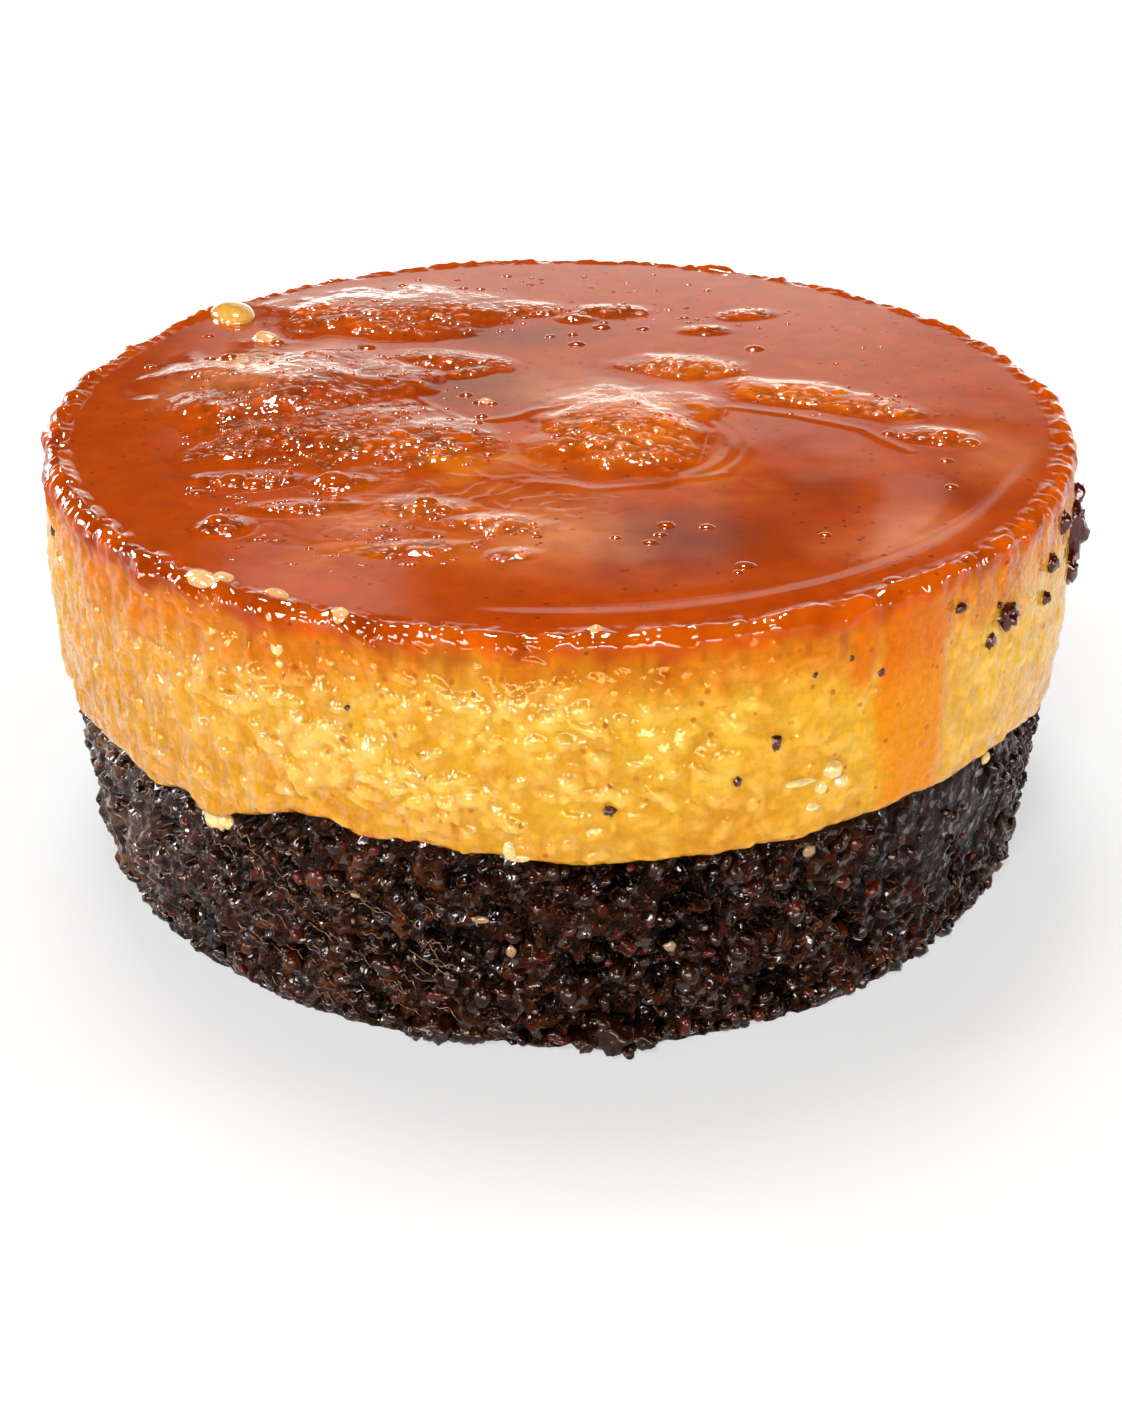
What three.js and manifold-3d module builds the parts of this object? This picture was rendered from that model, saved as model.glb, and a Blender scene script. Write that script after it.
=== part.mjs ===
// A chocoflan: a baked custard on a moist chocolate cake, turned out of its pan and covered in caramel.
// Units are millimetres and +Z is up. The origin is the centre of the flat underside, and -Y is the front.
// Angles round the cake are azimuths in degrees: 0 at the front (-Y), 90 at the right (+X).
import * as THREE from "three";
import { mergeVertices } from "three/addons/utils/BufferGeometryUtils.js";
import Module from "manifold-3d";

const wasm = await Module();
wasm.setup();

// Driving dimensions
const RIM_RADIUS = 76; // of the caramel's upper edge
const HEIGHT = 64; // of that edge above the underside
const CARAMEL_THICKNESS = 3.6; // of the caramel layer at the rim
const CAKE_HEIGHT = 31.3; // mean height of the line between the cake and the custard
const FOOT_RADIUS = 74.3; // of the cake at the underside
const GAP = 0.3; // between two layers
const CAKE_SECTORS = 144;
const CUSTARD_SECTORS = 120;
const CARAMEL_SECTORS = 108;
const RING_STEP = 4.2; // between the rings of the caramel's upper face

const CARAMEL_BASE = HEIGHT - CARAMEL_THICKNESS;
const CUSTARD_TOP = CARAMEL_BASE - GAP;
const SYRUP_LEVEL = HEIGHT - 0.7; // of the pools inside the rim

// Swells and dips of the line between the layers: azimuth, height and half width in degrees
const LAYER_WAVES = [
  [-66, -2.4, 7],
  [-55, -1.3, 13],
  [-46.5, -1.9, 3.5],
  [-37.5, -2.6, 3.2],
  [-25, 2.9, 5],
  [-14, 1.9, 6],
  [-6, 0.7, 4],
  [36, 0.9, 5],
  [67, -3.4, 7],
  [100, 1.4, 14],
  [138, -1.6, 12],
  [180, 1.8, 17],
  [-146, -1.5, 12],
  [-106, 1.2, 14],
];

// Crags of custard that stand out of the syrup on top: centre x and y, half sizes, tilt in degrees, height
const CRAGS = [
  [-42, 10, 20, 14, 22, 2.0],
  [-37, -10, 19, 15, 0, 1.6],
  [-22, -16, 12, 11, 0, 1.1],
  [-31, -41, 19, 7, 8, 0.7],
  [-13, -43, 13, 6, -6, 0.8],
  [-20, 23, 10, 6, -30, 1.4],
  [-28, 41, 23, 8, 8, 1.6],
  [-27, 59, 24, 6, 4, 1.0],
  [9, -15, 16, 13, -8, 2.2],
  [14, 7, 8, 12, 25, 1.3],
  [19, 18, 10, 5, -12, 1.3],
  [38, 6, 14, 8, -10, 1.6],
  [55, -9, 9, 6, -25, 1.0],
  [10, 46, 9, 4, 0, 0.9],
  [28, 40, 9, 7, 20, 0.7],
];
// One smooth drop of custard near the back left of the rim: centre x and y, radius, height
const TOP_DROP = [-56.5, 44, 6.5, 2.2];

// Syrup that ran down the custard: azimuth, half width in degrees, lowest height, thickness
const DRIPS = [
  [35.5, 3.6, 34, 0.9],
  [29, 1.6, 49, 0.5],
  [-58, 2.2, 44, 0.5],
  [96, 3.0, 40, 0.8],
  [158, 2.6, 37, 0.8],
  [-124, 3.2, 42, 0.7],
];

// Pieces stuck to the custard: azimuth, height, half sizes across, up and out
const CRUMBS_ON_CUSTARD = [
  [75, 52.5, 2.4, 4.2, 2.0],
  [69, 46, 1.4, 1.7, 1.2],
  [50.5, 53.4, 1.9, 1.7, 1.5],
  [62, 54.5, 1.3, 1.6, 1.0],
  [26, 41.2, 1.8, 2.0, 1.3],
  [24.2, 37.6, 1.2, 1.2, 1.0],
  [-4.5, 37.2, 1.3, 2.0, 1.2],
  [-92, 50, 1.8, 2.0, 1.9],
  [-104, 45.5, 1.4, 1.8, 2.2],
  [128, 51, 1.7, 1.5, 1.3],
  [171, 46, 1.5, 1.9, 1.2],
];
const CRUMBS_AT_FOOT = [
  [5.5, 2.6, 2.9, 2.3, 2.4],
  [8.6, 1.9, 2.0, 1.7, 2.6],
  [-13.5, 2.4, 2.6, 2.2, 2.2],
  [84, 2.2, 2.2, 1.9, 1.8],
  [-118, 2.3, 2.4, 2.1, 1.9],
  [152, 2.4, 2.7, 2.2, 2.0],
];

const radians = THREE.MathUtils.degToRad;
const degrees = THREE.MathUtils.radToDeg;
const { clamp, lerp, smoothstep } = THREE.MathUtils;

// A repeatable value from -1 to 1 for a point of the integer lattice
function latticeValue(i, j, k) {
  let h = Math.imul(i, 374761393) ^ Math.imul(j, 668265263) ^ Math.imul(k, 1274126177);
  h = Math.imul(h ^ (h >>> 13), 1103515245);
  h ^= h >>> 16;
  return (h & 0xffff) / 0x7fff - 1;
}

// Smooth noise from -1 to 1, with features about `size` across
function noise(x, y, z, size) {
  const at = [x / size, y / size, z / size];
  const cell = at.map(Math.floor);
  const part = at.map((v, n) => smoothstep(v - cell[n], 0, 1));
  let sum = 0;
  for (let corner = 0; corner < 8; corner++) {
    const step = [corner & 1, (corner >> 1) & 1, corner >> 2];
    const weight = step.reduce((w, s, n) => w * (s ? part[n] : 1 - part[n]), 1);
    sum += weight * latticeValue(cell[0] + step[0], cell[1] + step[1], cell[2] + step[2]);
  }
  return sum;
}

// Difference between two azimuths, from -180 to 180
function turnBetween(a, b) {
  return THREE.MathUtils.euclideanModulo(a - b + 180, 360) - 180;
}

function bell(distance, halfWidth) {
  return Math.exp(-((distance / halfWidth) ** 2));
}

// Height of the line between the cake and the custard at the outside
function layerLine(azimuth) {
  const waves = LAYER_WAVES.map(([at, height, width]) => height * bell(turnBetween(azimuth, at), width));
  return CAKE_HEIGHT + waves.reduce((sum, wave) => sum + wave, 0);
}

// Torn crumb on the cake's side: knobs stand out a little, and pits go in further
function cakeRelief(x, y, z) {
  const coarse = noise(x, y, z, 7);
  const fine = noise(x + 50, y, z, 3.6);
  const pit = Math.max(0, noise(x, y + 90, z, 5) - 0.35);
  return 0.7 * coarse + 0.6 * fine - 3.2 * pit;
}

function dripThickness(azimuth, z) {
  return DRIPS.reduce((most, [at, width, bottom, thickness]) => {
    const along = smoothstep(z, bottom, bottom + 4);
    return Math.max(most, thickness * along * bell(turnBetween(azimuth, at), width));
  }, 0);
}

function custardRelief(x, y, z, azimuth) {
  return 0.35 * noise(x, y, z, 11) + 0.3 * noise(x, y + 40, z, 5) + dripThickness(azimuth, z);
}

// Height that the caramel's upper face stands above the syrup's level
function topRelief(x, y) {
  const wobble = 0.22 * noise(x, y, 0, 9);
  const rough = 0.75 + 0.35 * noise(x, y, 7, 5.5);
  const crag = CRAGS.reduce((most, [cx, cy, halfLong, halfWide, tilt, height]) => {
    const turn = radians(tilt);
    const along = ((x - cx) * Math.cos(turn) + (y - cy) * Math.sin(turn)) / halfLong;
    const across = ((y - cy) * Math.cos(turn) - (x - cx) * Math.sin(turn)) / halfWide;
    const inside = 1.25 - Math.hypot(along, across) + wobble;
    return Math.max(most, height * rough * smoothstep(inside, 0, 0.6));
  }, 0);
  const [dropX, dropY, dropRadius, dropHeight] = TOP_DROP;
  const drop = dropHeight * bell(Math.hypot(x - dropX, y - dropY), dropRadius * 0.6);
  return Math.max(crag, drop);
}

// A closed solid turned from a profile of [radius, height] points that runs up from the axis and back to
// it. shape moves each of its points, given as azimuth, radius, height, x and y, to a new radius and height.
function turnedSolid(profile, sectors, shape) {
  const points = profile.map(([radius, height]) => new THREE.Vector2(radius, height));
  const lathe = new THREE.LatheGeometry(points, sectors).rotateX(Math.PI / 2);
  lathe.deleteAttribute("normal");
  lathe.deleteAttribute("uv");
  const merged = mergeVertices(lathe, 1e-4);
  const position = merged.getAttribute("position");
  for (let n = 0; n < position.count; n++) {
    const [x, y, z] = [position.getX(n), position.getY(n), position.getZ(n)];
    const radius = Math.hypot(x, y);
    const angle = radius > 1e-6 ? Math.atan2(x, -y) : 0;
    const moved = shape(degrees(angle), radius, z, x, y);
    position.setXYZ(n, moved.radius * Math.sin(angle), -moved.radius * Math.cos(angle), moved.height);
  }
  const corners = [];
  for (let n = 0; n < merged.index.count; n += 3) {
    const [a, b, c] = [merged.index.getX(n), merged.index.getX(n + 1), merged.index.getX(n + 2)];
    if (a !== b && b !== c && c !== a) corners.push(a, b, c);
  }
  merged.setIndex(corners);
  return merged;
}

function toManifold(geometry) {
  const vertProperties = new Float32Array(geometry.getAttribute("position").array);
  const triVerts = new Uint32Array(geometry.index.array);
  return new wasm.Manifold(new wasm.Mesh({ numProp: 3, vertProperties, triVerts }));
}

function fromManifold(solid) {
  const mesh = solid.getMesh();
  const geometry = new THREE.BufferGeometry();
  geometry.setAttribute("position", new THREE.BufferAttribute(mesh.vertProperties, 3));
  geometry.setIndex(new THREE.BufferAttribute(mesh.triVerts, 1));
  return geometry;
}

// An uneven lump whose middle lies on the surface at the given azimuth, height and radius
function lumpGeometry([azimuth, height, across, up, out], radius) {
  const lump = new THREE.IcosahedronGeometry(1, 1);
  lump.deleteAttribute("normal");
  lump.deleteAttribute("uv");
  const merged = mergeVertices(lump, 1e-4);
  const position = merged.getAttribute("position");
  for (let n = 0; n < position.count; n++) {
    const [x, y, z] = [position.getX(n), position.getY(n), position.getZ(n)];
    const uneven = 1 + 0.22 * noise(x + azimuth, y + height, z, 0.7);
    position.setXYZ(n, x * across * uneven, y * out * uneven, z * up * uneven);
  }
  const angle = radians(azimuth);
  const place = new THREE.Matrix4().makeRotationZ(angle);
  place.setPosition(radius * Math.sin(angle), -radius * Math.cos(angle), height);
  return merged.applyMatrix4(place);
}

function withLumps(geometry, lumps, radiusAt) {
  const added = lumps.map((lump) => toManifold(lumpGeometry(lump, radiusAt(lump[1]))));
  return fromManifold(added.reduce((solid, lump) => solid.add(lump), toManifold(geometry)));
}

// Radius at a height, from a profile of [radius, height] points in rising order
function radiusOn(profile, height) {
  const above = clamp(profile.findIndex((point) => point[1] >= height), 1, profile.length - 1);
  const [[r0, z0], [r1, z1]] = [profile[above - 1], profile[above]];
  return lerp(r0, r1, clamp((height - z0) / (z1 - z0), 0, 1));
}

// Splits a side into rows about `step` high, rounded by a smooth curve through its points
function sideRows(profile, step) {
  const curve = new THREE.SplineCurve(profile.map(([radius, height]) => new THREE.Vector2(radius, height)));
  const rows = Math.round(curve.getLength() / step);
  return curve.getSpacedPoints(rows).map((point) => [point.x, point.y]);
}

// Chocolate cake: the side rises from the foot to the layer line, and its height follows that line
const CAKE_SIDE = [
  [FOOT_RADIUS, 0],
  [74.8, 7],
  [75.4, 16],
  [76, 25],
  [75.8, CAKE_HEIGHT],
];

function makeCake() {
  const profile = [[0, 0], ...sideRows(CAKE_SIDE, 2.9), [0, CAKE_HEIGHT]];
  const body = turnedSolid(profile, CAKE_SECTORS, (azimuth, radius, z, x, y) => {
    if (radius < 1) return { radius, height: z };
    const atLine = layerLine(azimuth);
    const fade = smoothstep(z, 0, 3) * (1 - smoothstep(z, CAKE_HEIGHT - 3, CAKE_HEIGHT));
    const ragged = 0.35 + 0.65 * fade;
    return { radius: radius + ragged * cakeRelief(x, y, z), height: (z * atLine) / CAKE_HEIGHT };
  });
  return withLumps(body, CRUMBS_AT_FOOT, (height) => radiusOn(CAKE_SIDE, height));
}

// Custard: it overhangs the cake by a soft lip and bulges between the lip and the caramel
const CUSTARD_SIDE = [
  [75.9, CAKE_HEIGHT + GAP],
  [77.1, CAKE_HEIGHT + 1.2],
  [77.9, CAKE_HEIGHT + 6],
  [77.9, 43],
  [77.5, 52],
  [76.9, CUSTARD_TOP],
];

function makeCustard() {
  const bottom = CAKE_HEIGHT + GAP;
  const profile = [[0, bottom], ...sideRows(CUSTARD_SIDE, 3.1), [0, CUSTARD_TOP]];
  const body = turnedSolid(profile, CUSTARD_SECTORS, (azimuth, radius, z, x, y) => {
    if (radius < 1) return { radius, height: z };
    const share = (z - bottom) / (CUSTARD_TOP - bottom);
    const height = lerp(layerLine(azimuth) + GAP, CUSTARD_TOP, share);
    const fade = smoothstep(share, 0, 0.1);
    return { radius: radius + fade * custardRelief(x, y, z, azimuth), height };
  });
  return withLumps(body, CRUMBS_ON_CUSTARD, (height) => radiusOn(CUSTARD_SIDE, height));
}

// Caramel: a soaked layer with a rounded edge, a low rim, pools of syrup and crags of custard
const CARAMEL_SIDE = [
  [76.9, CARAMEL_BASE],
  [76.9, CARAMEL_BASE + 1.3],
  [76.4, HEIGHT - 1.1],
  [RIM_RADIUS - 1.2, HEIGHT - 0.25],
  [RIM_RADIUS - 3.4, HEIGHT],
  [RIM_RADIUS - 6.2, SYRUP_LEVEL + 0.15],
];

function makeCaramel() {
  const ringCount = Math.round((RIM_RADIUS - 6.2) / RING_STEP);
  const rings = Array.from({ length: ringCount }, (_, n) => [
    (RIM_RADIUS - 6.2) * (1 - (n + 1) / ringCount),
    SYRUP_LEVEL,
  ]);
  const profile = [[0, CARAMEL_BASE], ...CARAMEL_SIDE, ...rings];
  return turnedSolid(profile, CARAMEL_SECTORS, (azimuth, radius, z, x, y) => {
    if (z < SYRUP_LEVEL - 0.5) return { radius, height: z };
    const inward = smoothstep(RIM_RADIUS - radius, 3, 8);
    return { radius, height: z + inward * topRelief(x, y) };
  });
}

const MATERIALS = {
  cake: new THREE.MeshStandardMaterial({ color: 0x2a1610, roughness: 0.45, metalness: 0 }),
  custard: new THREE.MeshStandardMaterial({ color: 0xe9ac45, roughness: 0.35, metalness: 0 }),
  caramel: new THREE.MeshStandardMaterial({ color: 0xb4450f, roughness: 0.12, metalness: 0 }),
};

function layer(name, geometry, material) {
  const mesh = new THREE.Mesh(geometry, material);
  mesh.name = name;
  return mesh;
}

const chocoflan = new THREE.Group();
chocoflan.add(layer("chocolate_cake", makeCake(), MATERIALS.cake));
chocoflan.add(layer("custard", makeCustard(), MATERIALS.custard));
chocoflan.add(layer("caramel", makeCaramel(), MATERIALS.caramel));

export default chocoflan;
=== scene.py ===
"""The looks of a chocoflan: chocolate cake, baked custard and a caramel top with syrup pools and crags.

Shapes are worked out in millimetres and turned into metres when a mesh is made. Azimuths are degrees round
the cake: 0 at the front (-Y), 90 at the right (+X).
"""
import math

import bmesh
import bpy
import numpy as np
from mathutils import Matrix, Vector


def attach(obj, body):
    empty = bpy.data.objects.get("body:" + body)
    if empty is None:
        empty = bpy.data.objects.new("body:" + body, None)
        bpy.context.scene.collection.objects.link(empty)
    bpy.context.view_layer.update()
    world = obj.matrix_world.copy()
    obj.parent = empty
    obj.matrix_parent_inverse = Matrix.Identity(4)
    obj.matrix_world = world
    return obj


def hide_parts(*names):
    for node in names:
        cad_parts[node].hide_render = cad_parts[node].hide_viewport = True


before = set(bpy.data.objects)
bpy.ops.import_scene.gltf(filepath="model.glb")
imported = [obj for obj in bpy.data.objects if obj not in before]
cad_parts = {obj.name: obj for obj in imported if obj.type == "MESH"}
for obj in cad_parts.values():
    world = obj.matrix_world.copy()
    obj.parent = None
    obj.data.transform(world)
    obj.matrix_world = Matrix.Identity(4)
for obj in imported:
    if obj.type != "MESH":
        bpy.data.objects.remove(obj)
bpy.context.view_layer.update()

MM = 0.001

# Sizes that the solids share, in mm
RIM_RADIUS = 76.0
HEIGHT = 64.0
JOINT_HEIGHT = 60.25  # where the caramel's side meets the custard's
CAKE_HEIGHT = 31.3
CAKE_RADIUS = 75.0  # mean
GAP = 0.3
DISC_RADIUS = 74.8  # of the part of the top that is a height field

# Mesh density
DISC_RINGS = 162
SECTORS = 6 * DISC_RINGS
RIM_ROWS = 16
CUSTARD_ROWS = 99
CAKE_SECTORS = 1230
CAKE_ROWS = 79

# Swells and dips of the line between the layers: azimuth, height and half width in degrees
LAYER_WAVES = [
    (-66, -2.4, 7), (-55, -1.3, 13), (-46.5, -1.9, 3.5), (-37.5, -2.6, 3.2), (-25, 2.9, 5), (-14, 1.9, 6),
    (-6, 0.7, 4), (36, 0.9, 5), (67, -3.4, 7), (100, 1.4, 14), (138, -1.6, 12), (180, 1.8, 17),
    (-146, -1.5, 12), (-106, 1.2, 14),
]

# Profiles of the outside as (radius, height), bottom first
CAKE_SIDE = [(74.0, 0), (74.6, 7), (75.2, 16), (75.8, 25), (75.6, CAKE_HEIGHT)]
CUSTARD_SIDE = [
    (75.9, CAKE_HEIGHT + GAP), (77.1, CAKE_HEIGHT + 1.2), (77.9, CAKE_HEIGHT + 6), (77.9, 43), (77.5, 52),
    (76.95, JOINT_HEIGHT),
]
RIM_SIDE = [(76.95, JOINT_HEIGHT), (76.95, 61.8), (76.7, 63.0), (76.0, 63.75), (DISC_RADIUS, HEIGHT)]

# Crags that stand out of the syrup: centre x and y, half sizes, tilt in degrees, height, lean, how orange.
# The lean is how far the crest lies towards the back.
CRAGS = [
    (-43, 9, 21, 18.5, 14, 3, -0.5, 0.1), (-37, -11, 19, 15, 0, 1.6, 0.2, 0.15),
    (-22, -14, 12, 11, 0, 1.2, 0.3, 0.3), (-18, 21, 11, 4.6, -12, 0.7, 0.3, 0.2),
    (-14, 16, 5, 2.2, 30, 0.5, 0, 0.2), (-44, -28, 9, 3.2, 4, 0.7, 0.2, 0.1),
    (-31, -29, 4.8, 3.2, 0, 0.8, 0.2, 0.3), (-35, -38, 9, 2.8, 6, 0.5, 0.2, 0.2),
    (-45, -44, 4.2, 3.6, 20, 0.7, 0.2, 0.1), (-18, -38, 8, 4, -6, 0.4, 0.4, 0.5),
    (-9, -43, 9, 3.8, -10, 0.35, 0.4, 0.7), (-20, -51, 9, 2.4, 9, 0.2, 0, 0.4),
    (-6, -53, 4, 2.2, 0, 0.25, 0.3, 0.6), (9.5, -7, 14, 18, -4, 2.1, -0.4, 1),
    (19.5, 18, 10.5, 5.6, -8, 0.65, 0.4, 0.9), (35, 6.5, 10.5, 6, -14, 0.65, 0.4, 1),
    (47, 0, 10.5, 4.8, -26, 0.4, 0.4, 0.8), (56.5, -12, 6.4, 4, -20, 0.4, 0.4, 0.4),
    (-30, 46, 23, 14, 5, 1.6, -0.25, 0.3), (-8, 47, 9, 5, -6, 0.5, 0.4, 0.2),
    (-42, 45, 5.5, 5, 10, 1.6, 0.1, 0.7), (8, 46, 7, 4, 0, 0.45, 0.4, 0.2),
    (24, 36, 4.8, 2.8, 4, 0.4, 0.4, 0.4), (32, 44, 5.6, 3.2, 12, 0.4, 0.4, 0.3),
    (2.5, 42, 4, 2.2, 0, 0.45, 0, 0.2),
]


# ---------------------------------------------------------------- number helpers
def unit(value):
    return np.clip(value, 0, 1)


def smooth(value, low, high):
    t = unit((value - low) / (high - low))
    return t * t * (3 - 2 * t)


def bell(distance, half_width):
    return np.exp(-((distance / half_width) ** 2))


def turn_between(a, b):
    return (a - b + 180.0) % 360.0 - 180.0


def mix(a, b, share):
    return a + (b - a) * share


def tint(colour, tone, share):
    """Colours mixed towards a tone by a share at each point."""
    return mix(colour, tone, share[:, None])


def near_turn(azimuth, at, half_width):
    return bell(turn_between(azimuth, at), half_width)


def smooth_max(a, b, width):
    near = np.maximum(0, 1 - np.abs(a - b) / width)
    return np.maximum(a, b) + 0.25 * width * near * near


def lattice(i, j, k, seed):
    """Repeatable values from 0 to 1 for integer lattice points."""
    h = i.astype(np.int64).astype(np.uint32) * np.uint32(374761393)
    h ^= j.astype(np.int64).astype(np.uint32) * np.uint32(668265263)
    h ^= k.astype(np.int64).astype(np.uint32) * np.uint32(2246822519)
    h ^= np.uint32((seed * 3266489917) & 0xFFFFFFFF)
    h = (h ^ (h >> np.uint32(15))) * np.uint32(2246822519)
    h = (h ^ (h >> np.uint32(13))) * np.uint32(3266489917)
    return (h ^ (h >> np.uint32(16))).astype(np.float64) / 4294967295.0


def noise(points, size, seed=0):
    """Gradient noise, mostly from -1 to 1, with features about size mm across."""
    at = np.asarray(points, float) / np.asarray(size, float)
    cell = np.floor(at)
    part = at - cell
    fade = part**3 * (part * (part * 6 - 15) + 10)
    total = np.zeros(len(at))
    for corner in range(8):
        step = np.array([corner & 1, (corner >> 1) & 1, corner >> 2])
        ids = [cell[:, n] + step[n] for n in range(3)]
        toward = np.stack([lattice(*ids, seed * 3 + n) for n in range(3)], 1) * 2 - 1
        dot = np.sum(toward * (part - step), 1)
        total += dot * np.prod(np.where(step, fade, 1 - fade), 1)
    return total * 1.9


def layered(points, size, octaves=3, seed=0):
    """Noise of several sizes added up."""
    total, weight = 0, 0
    for n in range(octaves):
        total = total + 0.5**n * noise(points, np.asarray(size) / 2**n, seed + 17 * n)
        weight += 0.5**n
    return total / weight


def cells(u, v, size, seed=0, around=None):
    """Cellular pattern: the distance to the nearest cell centre, in cells, and a random value of that cell.
    around is the number of cells in a full turn along u, where u is in cells already."""
    pu, pv = (u, v / size) if around else (u / size, v / size)
    cu, cv = np.floor(pu), np.floor(pv)
    near, value, zero = np.full(len(pu), 9.0), np.zeros(len(pu)), np.zeros(len(pu))
    for du in (-1, 0, 1):
        for dv in (-1, 0, 1):
            iu, iv = cu + du, cv + dv
            key = iu % around if around else iu
            across = iu + 0.1 + 0.8 * lattice(key, iv, zero, seed) - pu
            far = np.hypot(across, iv + 0.1 + 0.8 * lattice(key, iv, zero + 1, seed) - pv)
            value = np.where(far < near, lattice(key, iv, zero + 2, seed), value)
            near = np.minimum(near, far)
    return near, value


def heads(u, v, size, seed, tight=1.55, rare=0.1, common=1.0, around=None):
    """Round heads of uneven height in cells of size mm, from 0 to 1. A head fills 1 / tight of its cell's
    half width, and cells whose random value is under rare have none."""
    near, value = cells(u, v, size, seed, around)
    return unit(1 - (tight * near) ** 2) * smooth(value, rare, common)


def side_heads(turn, z, count, size, seed, tight=1.5, rare=0.2, common=1.0):
    """Heads on the side, with count of them in a full turn, where turn goes from 0 to 1."""
    return heads(turn * count, z, size, seed, tight, rare, common, count)


def curve_through(points, samples=400):
    """Points on a smooth curve through the given ones."""
    p = np.array([points[0], *points, points[-1]], float)
    t = np.linspace(0, len(points) - 1, samples)
    n = np.minimum(t.astype(int), len(points) - 2)
    w = (t - n)[:, None]
    a, b, c, d = p[n], p[n + 1], p[n + 2], p[n + 3]
    return 0.5 * (2 * b + (c - a) * w + (2 * a - 5 * b + 4 * c - d) * w**2 + (3 * b - a - 3 * c + d) * w**3)


def evenly(points, rows):
    """rows + 1 points at even steps along a curve, and the outward normals there."""
    fine = curve_through(points)
    length = np.concatenate([[0], np.cumsum(np.hypot(*np.diff(fine, axis=0).T))])
    at = np.linspace(0, length[-1], rows + 1)
    found = np.stack([np.interp(at, length, fine[:, n]) for n in range(2)], 1)
    slope = np.gradient(found, axis=0)
    normal = np.stack([slope[:, 1], -slope[:, 0]], 1)
    return found, normal / np.linalg.norm(normal, axis=1, keepdims=True)


def layer_line(azimuth):
    return CAKE_HEIGHT + sum(h * near_turn(azimuth, at, w) for at, h, w in LAYER_WAVES)


def azimuth_of(x, y):
    return np.degrees(np.arctan2(x, -y))


def on_wall(azimuth, radius, z):
    a = np.radians(azimuth)
    return np.stack([radius * np.sin(a), -radius * np.cos(a), z], -1)


# ---------------------------------------------------------------- mesh helpers
def rows_round(profile, sectors):
    """Azimuth, radius and height of each point of a turned surface, row by row."""
    az, z = (v.ravel() for v in np.meshgrid(np.arange(sectors) * 360.0 / sectors, profile[:, 1]))
    return az, np.repeat(profile[:, 0], sectors), z


def vertex_normals(points, triangles):
    corner = points[triangles]
    face = np.cross(corner[:, 1] - corner[:, 0], corner[:, 2] - corner[:, 0])
    total = np.zeros_like(points)
    for n in range(3):
        np.add.at(total, triangles[:, n], face)
    return total / np.maximum(np.linalg.norm(total, axis=1, keepdims=True), 1e-12)


def make_object(name, points, triangles, normals=None, tone=None, values=None):
    """An object from points in mm, with an optional colour and named numbers at each point."""
    mesh = bpy.data.meshes.new(name)
    mesh.from_pydata((points * MM).tolist(), [], triangles.tolist())
    mesh.polygons.foreach_set("use_smooth", np.ones(len(triangles), bool))
    if tone is not None:
        colour = np.concatenate([unit(tone), np.ones((len(points), 1))], 1)
        layer = mesh.color_attributes.new("tone", "FLOAT_COLOR", "POINT")
        layer.data.foreach_set("color", colour.astype(np.float32).ravel())
    for key, value in (values or {}).items():
        mesh.attributes.new(key, "FLOAT", "POINT").data.foreach_set("value", value.astype(np.float32))
    if normals is not None:
        mesh.normals_split_custom_set_from_vertices(normals.tolist())
    mesh.update()
    made = bpy.data.objects.new(name, mesh)
    bpy.context.scene.collection.objects.link(made)
    return made


def grid_triangles(rows, sectors, first=0):
    """Triangles of a band whose rows of points run upwards and round the cake."""
    r, s = np.meshgrid(np.arange(rows), np.arange(sectors), indexing="ij")
    r, s, t = r.ravel(), s.ravel(), (s.ravel() + 1) % sectors
    a, b = first + r * sectors + s, first + r * sectors + t
    c, d = a + sectors, b + sectors
    return np.concatenate([np.stack([a, b, d], 1), np.stack([a, d, c], 1)])


def disc_points(rings, radius):
    """Points of a disc: its centre, and then rings of 6, 12, 18 and so on."""
    found = [np.zeros((1, 2))]
    for k in range(1, rings + 1):
        angle = np.radians(np.arange(6 * k) * 60.0 / k)
        r = radius * k / rings
        found.append(np.stack([r * np.sin(angle), -r * np.cos(angle)], 1))
    return np.concatenate(found)


def disc_triangles(rings):
    found = []
    for k in range(1, rings + 1):
        outer, inner = 1 + 3 * k * (k - 1), 1 + 3 * (k - 1) * (k - 2) if k > 1 else 0
        count_out, count_in = 6 * k, max(6 * (k - 1), 1)
        part, j = np.meshgrid(np.arange(6), np.arange(k), indexing="ij")
        part, j = part.ravel(), j.ravel()
        a, b = outer + part * k + j, outer + (part * k + j + 1) % count_out
        c = inner + (part * (k - 1) + j) % count_in
        found.append(np.stack([a, b, c], 1))
        keep = j < k - 1
        d = inner + (part * (k - 1) + j + 1) % count_in
        found.append(np.stack([c[keep], b[keep], d[keep]], 1))
    return np.concatenate(found)


def cap(ring, centre, upward):
    """A fan that closes a ring of point numbers."""
    after = np.roll(ring, -1)
    fan = np.stack([ring, after, np.full(len(ring), centre)], 1)
    return fan if upward else fan[:, ::-1]


# ---------------------------------------------------------------- the caramel's top
def reach(x, y, shape):
    """Distance from an ellipse's centre, as a share of the distance to its edge."""
    cx, cy, half_long, half_wide, tilt = shape
    turn = math.radians(tilt)
    along = ((x - cx) * math.cos(turn) + (y - cy) * math.sin(turn)) / half_long
    across = ((y - cy) * math.cos(turn) - (x - cx) * math.sin(turn)) / half_wide
    return np.hypot(along, across)


def flat_points(x, y, z=0.0):
    return np.stack([x, y, np.full(len(x), z)], 1)


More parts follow.
